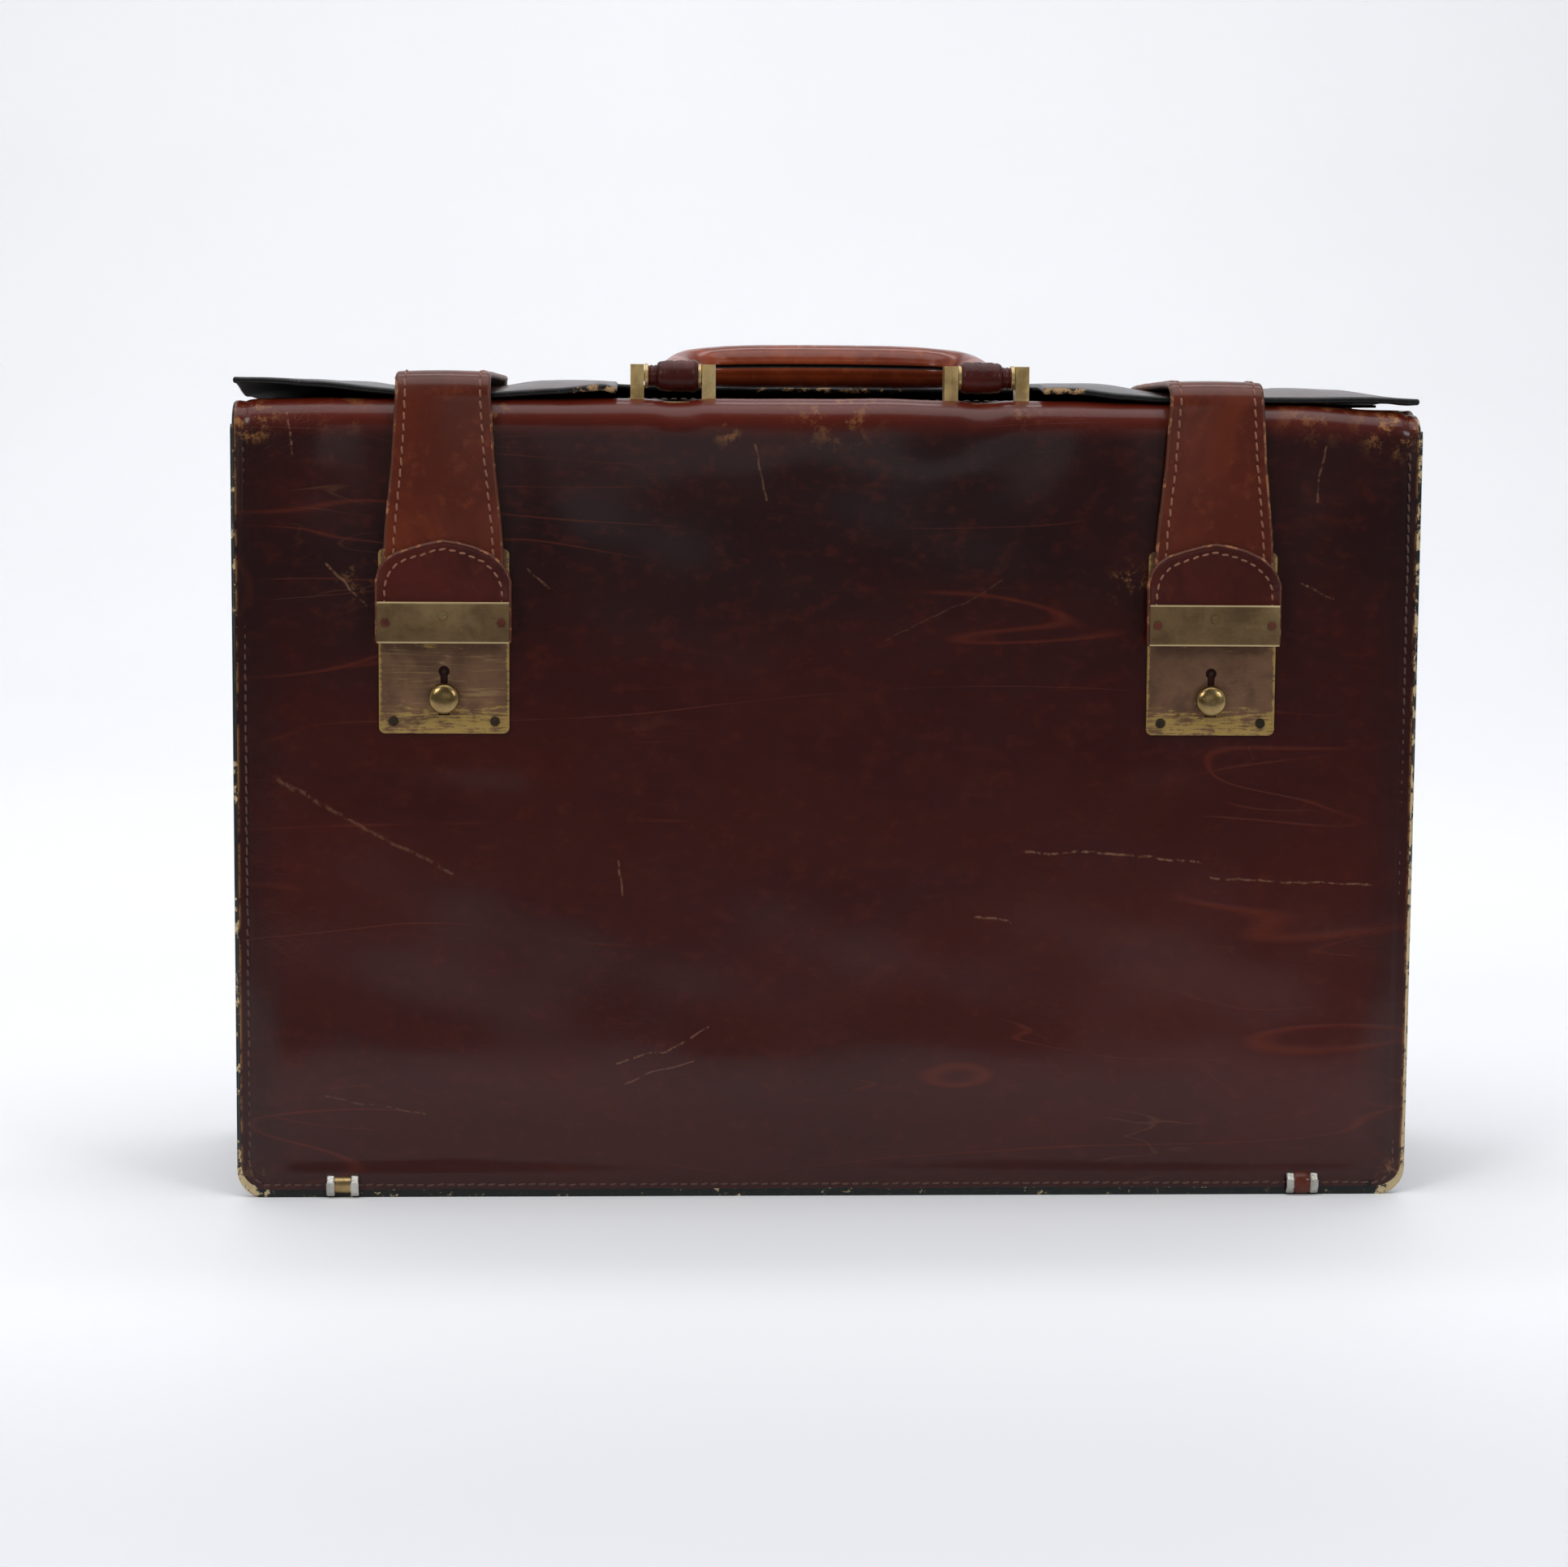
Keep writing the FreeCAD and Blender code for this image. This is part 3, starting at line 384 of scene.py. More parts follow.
class Paint:
    """Short ways to make a material's nodes. Values are sockets, numbers or colours."""

    def __init__(self, name):
        self.material = bpy.data.materials.new(name)
        self.material.use_nodes = True
        self.tree = self.material.node_tree
        self.tree.nodes.clear()
        self.place = self.make("TexCoord").outputs["Object"]

    def make(self, kind, values=(), **settings):
        node = self.tree.nodes.new("ShaderNode" + kind)
        for key, value in settings.items():
            setattr(node, key, value)
        for key, value in dict(values).items():
            socket = node.inputs[key]
            if isinstance(value, bpy.types.NodeSocket):
                self.tree.links.new(value, socket)
            else:
                socket.default_value = value
        return node

    def math(self, operation, a, b=0.0, clamp=False):
        return self.make("Math", {0: a, 1: b}, operation=operation, use_clamp=clamp).outputs[0]

    def plus(self, a, b, clamp=False):
        return self.math("ADD", a, b, clamp)

    def minus(self, a, b):
        return self.math("SUBTRACT", a, b)

    def times(self, a, b):
        return self.math("MULTIPLY", a, b)

    def most(self, a, b):
        return self.math("MAXIMUM", a, b)

    def size(self, a):
        return self.math("ABSOLUTE", a)

    def vector(self, operation, a, b=(0, 0, 0)):
        node = self.make("VectorMath", {0: a, 1: b}, operation=operation)
        return node.outputs["Value" if operation in ("LENGTH", "DOT_PRODUCT", "DISTANCE") else 0]

    def scaled(self, scale, place=None):
        return self.make("Mapping", {"Vector": place or self.place, "Scale": scale}).outputs[0]

    def noise(self, scale, detail=4.0, rough=0.55, place=None, warp=0.0):
        return self.make("TexNoise", {"Vector": place or self.place, "Scale": scale, "Detail": detail,
                                      "Roughness": rough, "Distortion": warp}).outputs[0]

    def cells(self, scale, feature="DISTANCE_TO_EDGE", place=None):
        node = self.make("TexVoronoi", {"Vector": place or self.place, "Scale": scale}, feature=feature)
        return node.outputs["Distance"]

    def span(self, value, low, high, to_low=0.0, to_high=1.0):
        """Smooth step of value from low to high, mapped to another range."""
        node = self.make("MapRange", {"Value": value, "From Min": low, "From Max": high, "To Min": to_low,
                                      "To Max": to_high}, interpolation_type="SMOOTHSTEP")
        return node.outputs[0]

    def mix(self, share, a, b, blend="MIX"):
        node = self.make("Mix", {"Factor": share}, data_type="RGBA", blend_type=blend)
        for socket, value in zip([s for s in node.inputs if s.type == "RGBA"], (a, b)):
            if isinstance(value, bpy.types.NodeSocket):
                self.tree.links.new(value, socket)
            else:
                socket.default_value = value
        return [s for s in node.outputs if s.type == "RGBA"][0]

    def axis(self, letter):
        if not hasattr(self, "split"):
            self.split = self.make("SeparateXYZ", {"Vector": self.place})
        return self.split.outputs[letter]

    def bump(self, height, distance, strength=1.0, below=None):
        values = {"Height": height, "Distance": distance, "Strength": strength}
        if below is not None:
            values["Normal"] = below
        return self.make("Bump", values).outputs[0]

    def segment(self, start, finish, width, waver=0.0):
        """Soft line mark between two (x, z) points in millimetres, 1 on the line."""
        a = np.array([start[0], 0, start[1]]) * MM
        b = np.array([finish[0], 0, finish[1]]) * MM
        flat = self.vector("MULTIPLY", self.place, (1, 0, 1))
        if waver:
            shift = self.make("TexNoise", {"Vector": self.place, "Scale": 60.0,
                                           "Detail": 2.0}).outputs["Color"]
            shift = self.vector("SUBTRACT", shift, (0.5, 0.5, 0.5))
            shift = self.vector("MULTIPLY", shift, (waver * MM, 0, waver * MM))
            flat = self.vector("ADD", flat, shift)
        d = b - a
        offset = self.vector("SUBTRACT", flat, tuple(a))
        share = self.math("DIVIDE", self.vector("DOT_PRODUCT", offset, tuple(d)), float(d @ d))
        share = self.make("Clamp", {"Value": share}).outputs[0]
        nearest = self.make("VectorMath", {0: tuple(d), "Scale": share}, operation="SCALE").outputs[0]
        gap = self.vector("LENGTH", self.vector("SUBTRACT", offset, nearest))
        return self.span(gap, 0.0, width * MM, 1.0, 0.0)

    def spot(self, place, size):
        """Soft round patch about a (x, z) point in millimetres."""
        flat = self.vector("MULTIPLY", self.place, (1, 0, 1))
        gap = self.vector("DISTANCE", flat, (place[0] * MM, 0, place[1] * MM))
        return self.span(gap, 0.0, size * MM, 1.0, 0.0)

    def finish(self, colour, rough, normal=None, **plain):
        values = {"Base Color": colour, "Roughness": rough}
        values.update({key.replace("_", " "): value for key, value in plain.items()})
        if normal is not None:
            values["Normal"] = normal
        shader = self.make("BsdfPrincipled", values)
        self.make("OutputMaterial", {"Surface": shader.outputs[0]})
        return self.material


def leather(name, dark, middle, light, gloss=0.34, grain=1.0, mottle=14.0, extra=None, coat=0.3):
    """Smooth polished hide: slow colour drift, fine pores, creases, rub marks."""
    p = Paint(name)
    drift = p.noise(mottle, 5.0, 0.6, warp=0.6)
    fine = p.noise(180.0, 4.0, 0.6)
    colour = p.mix(p.span(drift, 0.35, 0.68), dark, middle)
    colour = p.mix(p.span(fine, 0.52, 0.8, 0.0, 0.45), colour, light)
    pores = p.noise(2400.0, 2.0, 0.5)
    wrinkle = p.cells(260.0, place=p.scaled((1.0, 1.0, 1.0)))
    wrinkle_mask = p.span(p.noise(22.0, 3.0, 0.5), 0.5, 0.7)
    creases = p.times(p.span(wrinkle, 0.0, 0.12, 1.0, 0.0), wrinkle_mask)
    rough = p.plus(gloss - 0.08, p.times(p.noise(45.0, 5.0, 0.65), 0.2))
    scuffs = p.span(p.noise(30.0, 6.0, 0.7, place=p.scaled((3.0, 1.0, 0.35))), 0.62, 0.78)
    rough = p.plus(rough, p.times(scuffs, 0.12))
    height = p.plus(p.times(pores, 0.35 * grain), p.times(creases, -0.5 * grain))
    height = p.plus(height, p.times(fine, 0.8 * grain))
    if extra:
        colour, rough, height = extra(p, colour, rough, height)
    normal = p.bump(height, 0.00012, 0.9)
    slow = p.bump(p.noise(55.0, 3.0, 0.5), 0.0009, 0.35, below=normal)
    return p.finish(colour, rough, slow, Coat_Weight=coat, Coat_Roughness=0.14, Specular_IOR_Level=0.17)


def edge_gap(p, half, letter="X"):
    """Distance inwards from the piece's edge at plus or minus half, in metres."""
    return p.minus(half * MM, p.size(p.axis(letter)))


def creases(p, scale, stretch, width, share):
    """Long wandering lines, where a stretched noise passes through its middle value."""
    field = p.noise(scale, 1.6, 0.45, place=p.scaled(stretch), warp=0.5)
    line = p.span(p.size(p.minus(field, 0.5)), 0.0, width, 1.0, 0.0)
    return p.times(line, p.span(p.noise(11.0, 2.0), share, share + 0.16))


def front_marks(p, colour, rough, height):
    """Colour and wear of the case's outer leather: dark above and redder below, long soft
    creases, painted shade near the side edges and the bottom, a warm painted highlight along
    the upper fold, rubbed corners and fold, and the deeper scratches."""
    streak = p.noise(6.5, 4.0, 0.55, place=p.scaled((0.75, 1.0, 1.7)), warp=0.8)
    low = p.span(p.axis("Z"), 0.255, 0.10, 0.12, 0.72)
    red = p.plus(low, p.times(p.minus(streak, 0.5), 1.5), True)
    colour = p.mix(red, rgb(31, 8, 9), rgb(64, 16, 8))
    fine = p.noise(190.0, 4.0, 0.62, place=p.scaled((0.8, 1.0, 1.2)))
    colour = p.mix(p.span(fine, 0.48, 0.8, 0.0, 0.4), colour, rgb(80, 28, 14))
    vein = creases(p, 9.0, (0.3, 1.0, 1.9), 0.0045, 0.42)
    vein = p.most(vein, creases(p, 17.0, (0.25, 1.0, 1.7), 0.0045, 0.5))
    colour = p.mix(p.times(vein, 0.22), colour, rgb(120, 48, 24))
    height = p.plus(height, p.times(vein, -0.6))
    # Painted shade: the leather darkens towards its side edges and towards the bottom.
    painted_shade = p.span(edge_gap(p, HALF_WIDTH), 0.004, 0.022, 0.45, 0.0)
    painted_base_shade = p.span(p.axis("Z"), 0.005, 0.022, 0.35, 0.0)
    colour = p.mix(p.most(painted_shade, painted_base_shade), colour, rgb(28, 12, 13))
    # Painted highlight: a lighter, warmer red band along the upper fold, which faces up into the light.
    fold = p.times(p.span(p.axis("Z"), 0.283, 0.294), p.span(streak, 0.3, 0.6, 0.5, 1.0))
    colour = p.mix(p.times(fold, 0.75), colour, rgb(98, 30, 15))
    patchy = p.noise(150.0, 7.0, 0.75)
    rub = p.times(p.span(edge_gap(p, HALF_WIDTH), 0.0006, 0.0024, 1.0, 0.0), p.span(patchy, 0.42, 0.56))
    for place, size, strength in (
            ((-214, 292), 16, 1.0), ((210, 292), 19, 1.0), ((-215, 7), 8, 0.6),
            ((216, 8), 8, 0.6), ((-173, 231), 11, 0.62), ((111, 232), 11, 0.62),
            ((2, 299), 24, 0.62), ((-38, 287), 8, 0.5), ((-123, 293), 9, 0.5),
            ((70, 300), 16, 0.5), ((180, 300), 22, 0.5), ((-180, 300), 20, 0.45)):
        mark = p.times(p.spot(place, size), p.span(patchy, 0.50, 0.62))
        rub = p.most(rub, p.times(mark, strength))
    colour = p.mix(p.times(rub, 0.85), colour, rgb(164, 112, 64))
    lines = None
    for start, finish, width, strength in (
            ((-205, 158), (-172, 139), 1.2, 0.22), ((-172, 139), (-139, 123), 1.0, 0.2),
            ((74, 131), (105, 130), 0.7, 0.5), ((105, 130), (140, 127), 0.7, 0.45),
            ((143, 122), (205, 118), 0.6, 0.4), ((-79, 51), (-62, 56), 0.6, 0.35),
            ((-62, 56), (-44, 65), 0.6, 0.35), ((-75, 44), (-50, 53), 0.5, 0.25),
            ((55, 106), (69, 104), 0.7, 0.4), ((-78, 128), (-77, 115), 0.6, 0.4),
            ((-199, 293), (-198, 277), 0.7, 0.5), ((20, 210), (64, 232), 0.5, 0.12),
            ((-28, 282), (-24, 262), 0.6, 0.3), ((184, 282), (181, 262), 0.6, 0.3),
            ((-186, 238), (-170, 222), 0.7, 0.4), ((-112, 236), (-104, 228), 0.6, 0.3),
            ((176, 232), (188, 226), 0.6, 0.4), ((-190, 40), (-150, 32), 0.6, 0.15)):
        line = p.times(p.segment(start, finish, width, 5.0), strength)
        lines = line if lines is None else p.most(lines, line)
    lines = p.times(lines, p.span(p.noise(420.0, 3.0, 0.6), 0.36, 0.6))
    colour = p.mix(p.times(lines, 0.9), colour, rgb(166, 122, 92))
    small = creases(p, 60.0, (0.3, 1.0, 1.3), 0.012, 0.60)
    colour = p.mix(p.times(small, 0.16), colour, rgb(140, 92, 66))
    height = p.plus(height, p.times(lines, -1.0))
    rough = p.plus(rough, p.times(rub, 0.25))
    return colour, rough, height


def edge_paint(name, base, chip, amount, extra=None):
    """Painted cut edge of leather, chipped back to the raw hide in places."""
    p = Paint(name)
    chips = p.noise(240.0, 5.0, 0.7)
    if extra:
        chips = extra(p, chips)
    flakes = p.span(chips, amount, amount + 0.08)
    colour = p.mix(flakes, base, chip)
    colour = p.mix(p.span(p.noise(500.0, 3.0), 0.5, 0.75, 0.0, 0.2), colour, rgb(70, 62, 52))
    rough = p.span(flakes, 0.0, 1.0, 0.36, 0.85)
    return p.finish(colour, rough, p.bump(p.noise(900.0, 3.0), 0.00015, 0.8), Specular_IOR_Level=0.3)


def flap_chips(p, chips):
    """Bare hide at the notch's corners and along the middle of its rear edge."""
    across = p.size(p.axis("X"))
    near = p.size(p.minus(across, 0.086))
    corner = p.times(p.span(near, 0.002, 0.016, 1.0, 0.0), p.span(p.axis("Y"), -0.056, -0.044, 1.0, 0.0))
    middle = p.times(p.span(across, 0.01, 0.05, 0.75, 0.0), p.span(p.axis("Y"), 0.002, 0.006))
    share = p.most(corner, middle)
    return p.plus(chips, p.times(share, 0.2))


def rim_chips(p, chips):
    """More bare hide at the lower corners and up the right side of the case."""
    corner = p.times(p.span(edge_gap(p, HALF_WIDTH), 0.002, 0.016, 1.0, 0.0),
                    p.span(p.axis("Z"), 0.006, 0.03, 1.0, 0.0))
    right = p.times(p.span(p.axis("X"), 0.2185, 0.2190), p.span(p.axis("Z"), 0.10, 0.2, 0.9, 0.45))
    left = p.times(p.span(p.axis("X"), -0.2190, -0.2185, 1.0, 0.0), 0.12)
    share = p.most(p.most(corner, right), left)
    return p.plus(chips, p.times(share, 0.24))


def thread(name, light, dark):
    """Waxed linen thread: twisted strands, browned with age."""
    p = Paint(name)
    twist = p.make("TexWave", {"Vector": p.scaled((1.0, 1.0, 1.0)), "Scale": 700.0,
                               "Distortion": 1.0}).outputs[1]
    colour = p.mix(p.noise(60.0, 3.0), dark, light)
    return p.finish(colour, 0.72, p.bump(twist, 0.00012, 0.7), Sheen_Weight=0.2)


def cloth(name, warm, cool, scale=900.0):
    """Plain woven lining."""
    p = Paint(name)
    weft = p.make("TexWave", {"Vector": p.place, "Scale": scale, "Distortion": 0.4},
                  bands_direction="X").outputs[1]
    warp = p.make("TexWave", {"Vector": p.place, "Scale": scale, "Distortion": 0.4},
                  bands_direction="Z").outputs[1]
    weave = p.times(weft, warp)
    colour = p.mix(p.noise(18.0, 5.0, 0.6), warm, cool)
    colour = p.mix(p.times(weave, 0.35), colour, rgb(60, 42, 28))
    return p.finish(colour, 0.88, p.bump(weave, 0.0002, 0.8), Sheen_Weight=0.3)


def suede(name, base, light, nap=0.35):
    """Flesh side of the hide."""
    p = Paint(name)
    fibres = p.noise(1500.0, 6.0, 0.75)
    colour = p.mix(p.noise(40.0, 5.0, 0.65), base, light)
    return p.finish(colour, 0.9, p.bump(fibres, 0.0003, 0.9), Sheen_Weight=nap, Specular_IOR_Level=0.2)


def wood(name, dark, light):
    p = Paint(name)
    rings = p.make("TexWave", {"Vector": p.scaled((0.08, 1.0, 1.0)), "Scale": 160.0, "Distortion": 6.0,
                               "Detail": 3.0}).outputs[1]
    colour = p.mix(rings, dark, light)
    return p.finish(colour, 0.6, p.bump(rings, 0.0002, 0.4))


def brass(name, dark, middle, bright, brushed=None, rough=0.34, grime=0.55, extra=None, metallic=0.75):
    """Old brass: patchy tarnish, fine scratches, brushed one way where it is given."""
    p = Paint(name)
    tarnish = p.noise(90.0, 7.0, 0.68, warp=0.4)
    colour = p.mix(p.span(tarnish, 0.3, grime + 0.12), dark, middle)
    rub = p.span(p.noise(35.0, 5.0, 0.6), 0.5, 0.72)
    colour = p.mix(p.times(rub, 0.55), colour, bright)
    stretch = brushed or (3.0, 3.0, 3.0)
    hair = p.noise(420.0, 4.0, 0.7, place=p.scaled(stretch))
    height = p.times(hair, 0.8)
    pits = p.span(p.noise(1300.0, 2.0, 0.5), 0.66, 0.74)
    height = p.minus(height, p.times(pits, 0.8))
    level = p.plus(rough - 0.12, p.times(tarnish, 0.3))
    colour = p.mix(p.times(pits, 0.4), colour, dark)
    colour = p.mix(p.span(hair, 0.55, 0.8, 0.0, 0.35), colour, bright)
    if extra:
        colour, level, height = extra(p, colour, level, height)
    return p.finish(colour, level, p.bump(height, 0.00006, 0.8), Metallic=metallic)


def hasp_edges(p, colour, level, height):
    """Bright line along the upper and lower edge of each hasp bar."""
    top = p.span(p.axis("Z"), 0.2231, 0.2237)
    bottom = p.span(p.axis("Z"), 0.2090, 0.2096, 1.0, 0.0)
    edge = p.times(p.most(top, bottom), 0.8)
    return p.mix(edge, colour, rgb(222, 200, 150)), level, height


def plate_marks(p, colour, level, height):
    """Yellow wear on the lock plates: low down, round the knob and along every edge, in fine
    lines that run across the plate."""
    across = p.minus(p.size(p.axis("X")), LOCK_X * MM)
    side = p.span(p.size(across), 0.0216, 0.0238)
    tall = p.span(p.axis("Z"), 0.1745, 0.1775, 1.0, 0.0)
    low = p.span(p.axis("Z"), 0.178, 0.199, 0.5, 0.0)
    high = p.span(p.axis("Z"), 0.200, 0.209, 0.0, 0.36)
    border = p.times(p.most(side, tall), 0.55)
    wear = p.most(border, p.most(low, high))
    knob = p.most(p.spot((LOCK_X, 186), 13), p.spot((-LOCK_X, 186), 13))
    wear = p.most(wear, p.times(knob, 0.6))
    streaks = p.noise(420.0, 7.0, 0.75, place=p.scaled((0.28, 1.0, 2.4)))
    blots = p.noise(120.0, 5.0, 0.7)
    mask = p.plus(p.plus(streaks, p.times(blots, 0.6)), wear)
    mask = p.span(mask, 1.19, 1.34)
    colour = p.mix(p.times(mask, 0.8), colour, rgb(176, 146, 78))
    deep = creases(p, 260.0, (0.1, 1.0, 1.6), 0.02, 0.5)
    colour = p.mix(p.times(deep, 0.2), colour, rgb(206, 180, 116))
    return colour, level, height


OXBLOOD = dict(dark=rgb(30, 11, 11), middle=rgb(56, 18, 12), light=rgb(76, 28, 17))
body_leather = leather("body_leather", **OXBLOOD, gloss=0.31, extra=front_marks)
side_leather = leather("side_leather", rgb(36, 15, 14), rgb(60, 22, 15), rgb(86, 36, 22), grain=1.3)
flap_hide = leather("flap_hide", **OXBLOOD, grain=1.2, gloss=0.38)
strap_hide = leather("strap_hide", rgb(76, 26, 12), rgb(100, 39, 18), rgb(122, 56, 28), gloss=0.38,
                     grain=1.3, mottle=24.0)
tab_hide = leather("tab_hide", rgb(54, 17, 12), rgb(74, 24, 16), rgb(94, 40, 26), gloss=0.34, mottle=24.0)
grip_hide = leather("grip_hide", rgb(104, 40, 18), rgb(146, 62, 27), rgb(168, 88, 46), gloss=0.24,
                    grain=0.7, mottle=22.0, coat=0.35)
sleeve_hide = leather("sleeve_hide", rgb(56, 16, 11), rgb(76, 22, 14), rgb(96, 36, 22), gloss=0.36,
                      grain=1.4, mottle=60.0, coat=0.08)
black_edge = edge_paint("black_edge", rgb(9, 9, 10), rgb(170, 136, 96), 0.655, flap_chips)
hem_edge = edge_paint("hem_edge", rgb(17, 20, 19), rgb(188, 168, 130), 0.6, rim_chips)
strap_edge = edge_paint("strap_edge", rgb(86, 44, 28), rgb(150, 100, 66), 0.52)
flesh_side = suede("flesh_side", rgb(92, 66, 46), rgb(124, 94, 68))
stitch_dark = thread("stitch_dark", rgb(92, 54, 40), rgb(60, 32, 25))
stitch_light = thread("stitch_light", rgb(156, 100, 70), rgb(108, 60, 42))
# Painted shade for the awl holes, the keyhole's inside and the grip's seam groove.
hole_shadow = edge_paint("hole_shadow", rgb(14, 7, 6), rgb(24, 11, 9), 0.7)
# Near-black inside of the flap: partly the lining's own colour, partly painted shade.
dark_lining = suede("dark_lining", rgb(18, 11, 10), rgb(32, 20, 17), nap=0.0)
lining_cloth = cloth("lining_cloth", rgb(134, 104, 74), rgb(104, 78, 54))
board_paper = suede("board_paper", rgb(150, 126, 96), rgb(176, 152, 120))
rail_wood = wood("rail_wood", rgb(128, 88, 52), rgb(172, 128, 82))
plate_brass = brass("plate_brass", rgb(92, 64, 48), rgb(116, 84, 60), rgb(134, 102, 68),
                    brushed=(0.3, 3.0, 5.0), rough=0.38, extra=plate_marks, metallic=0.5)
hasp_brass = brass("hasp_brass", rgb(98, 76, 50), rgb(120, 96, 62), rgb(156, 130, 90),
                   brushed=(0.25, 3.0, 6.0), rough=0.32, extra=hasp_edges, metallic=0.6)
knob_brass = brass("knob_brass", rgb(122, 98, 60), rgb(156, 132, 88), rgb(196, 172, 122), rough=0.2,
                   metallic=0.9)
light_brass = brass("light_brass", rgb(150, 122, 76), rgb(196, 168, 114), rgb(228, 208, 160),
                    brushed=(0.5, 4.0, 1.0), rough=0.32, metallic=0.55)
copper = brass("copper_rivet", rgb(84, 42, 34), rgb(124, 70, 56), rgb(160, 104, 84))
dark_metal = brass("dark_metal", rgb(30, 24, 18), rgb(62, 50, 36), rgb(96, 78, 54), rough=0.42)
nickel = brass("nickel", rgb(150, 146, 136), rgb(190, 187, 180), rgb(220, 217, 210), rough=0.05,
               metallic=1.0)
steel = brass("steel", rgb(88, 88, 90), rgb(140, 140, 144), rgb(180, 180, 184), rough=0.3)


# ------------------------------------------------------------------ case leather

RIM = 3.1                 # height of the black painted edge
SIDE_RIM = 1.2            # how far the edge stands out past the hide at the sides
FRONT_TOP = TOP + 2.0     # the worn fold stands a little above the rail
RIM_TOP = 288             # where the panels' side edges end
HIDDEN_TOP = 283          # where the gusset ends under the fold
FLANGE = 2.2              # thickness of the gusset's turned-out edge
FLANGE_END = 206.0        # where that edge stops under the case
SHELTER = 14.0            # how softly the leather settles round a lock


def from_lock(x, half):
    """Distance sideways from a strip about the nearer lock's middle."""
    return np.maximum(np.abs(np.abs(x) - LOCK_X) - half, 0)


def lock_shelter(x, z):
    """0 where a lock plate or strap lies on the front leather, 1 well away from them."""
    down = np.maximum(168 - z, 0)
    return 1 - np.exp(-(from_lock(x, 27) ** 2 + down ** 2) / SHELTER ** 2)


def hem(x):
    """Height of the leather's lower edge above the black rim, a little wavy."""
    return RIM + 0.35 * ripple(x, 0 * x, 71, ((60, 1.0), (25, 0.6)))


def lifted(x, s, path_z, half, corner, base):
    """Heights of panel points whose rows crowd together over a raised lower edge."""
    past = np.clip(np.abs(x) - (half - corner), 0, corner)
    rise = base + corner - np.sqrt(corner ** 2 - past ** 2)
    return np.where(s < 40, rise + s * (40 - rise) / 40, path_z)


def between(first, last, share, y):
    """Upright strip of points at one depth, shared out between two (x, z) lines."""
    strip = first[:, None] * (1 - share[:, :, None]) + last[:, None] * share[:, :, None]
    return grid(strip[:, :, 0], y, strip[:, :, 1])


def make_rim(patch, face, way):
    """Black painted edge of the hide and the pieces behind it, round three sides."""
    outside = rounded_path([(-HALF_WIDTH, RIM_TOP), (-HALF_WIDTH, 0), (HALF_WIDTH, 0),
                            (HALF_WIDTH, RIM_TOP)], [CORNER, CORNER], 2.2)
    outward = path_normals(outside, False)
    low = 1 - smoothstep(4, 16, outside[:, 1])
    width = 1.9 + 2.2 * low + 0.25 * ripple(outside[:, 0], outside[:, 1], 73, ((50, 1.0),))
    share = np.linspace(0, 1, 5)[None, :]
    points = between(outside, outside - outward * width[:, None], share, face - way * 0.7)
    points[:, :, 1] += way * 0.25 * np.sin(np.pi * share)
    sheet(patch, points, facing(points, 1, way), HIDE - 0.7, finishes=(1, 1, 1), bulge=0.3)


def seam_groove(x, z):
    """Depth of the groove that the side seams pull into a panel."""
    gap = HALF_WIDTH - SIDE_RIM - 3.2 - np.abs(x)
    return -0.55 * hump(gap, 1.1) * smoothstep(10, 16, z)


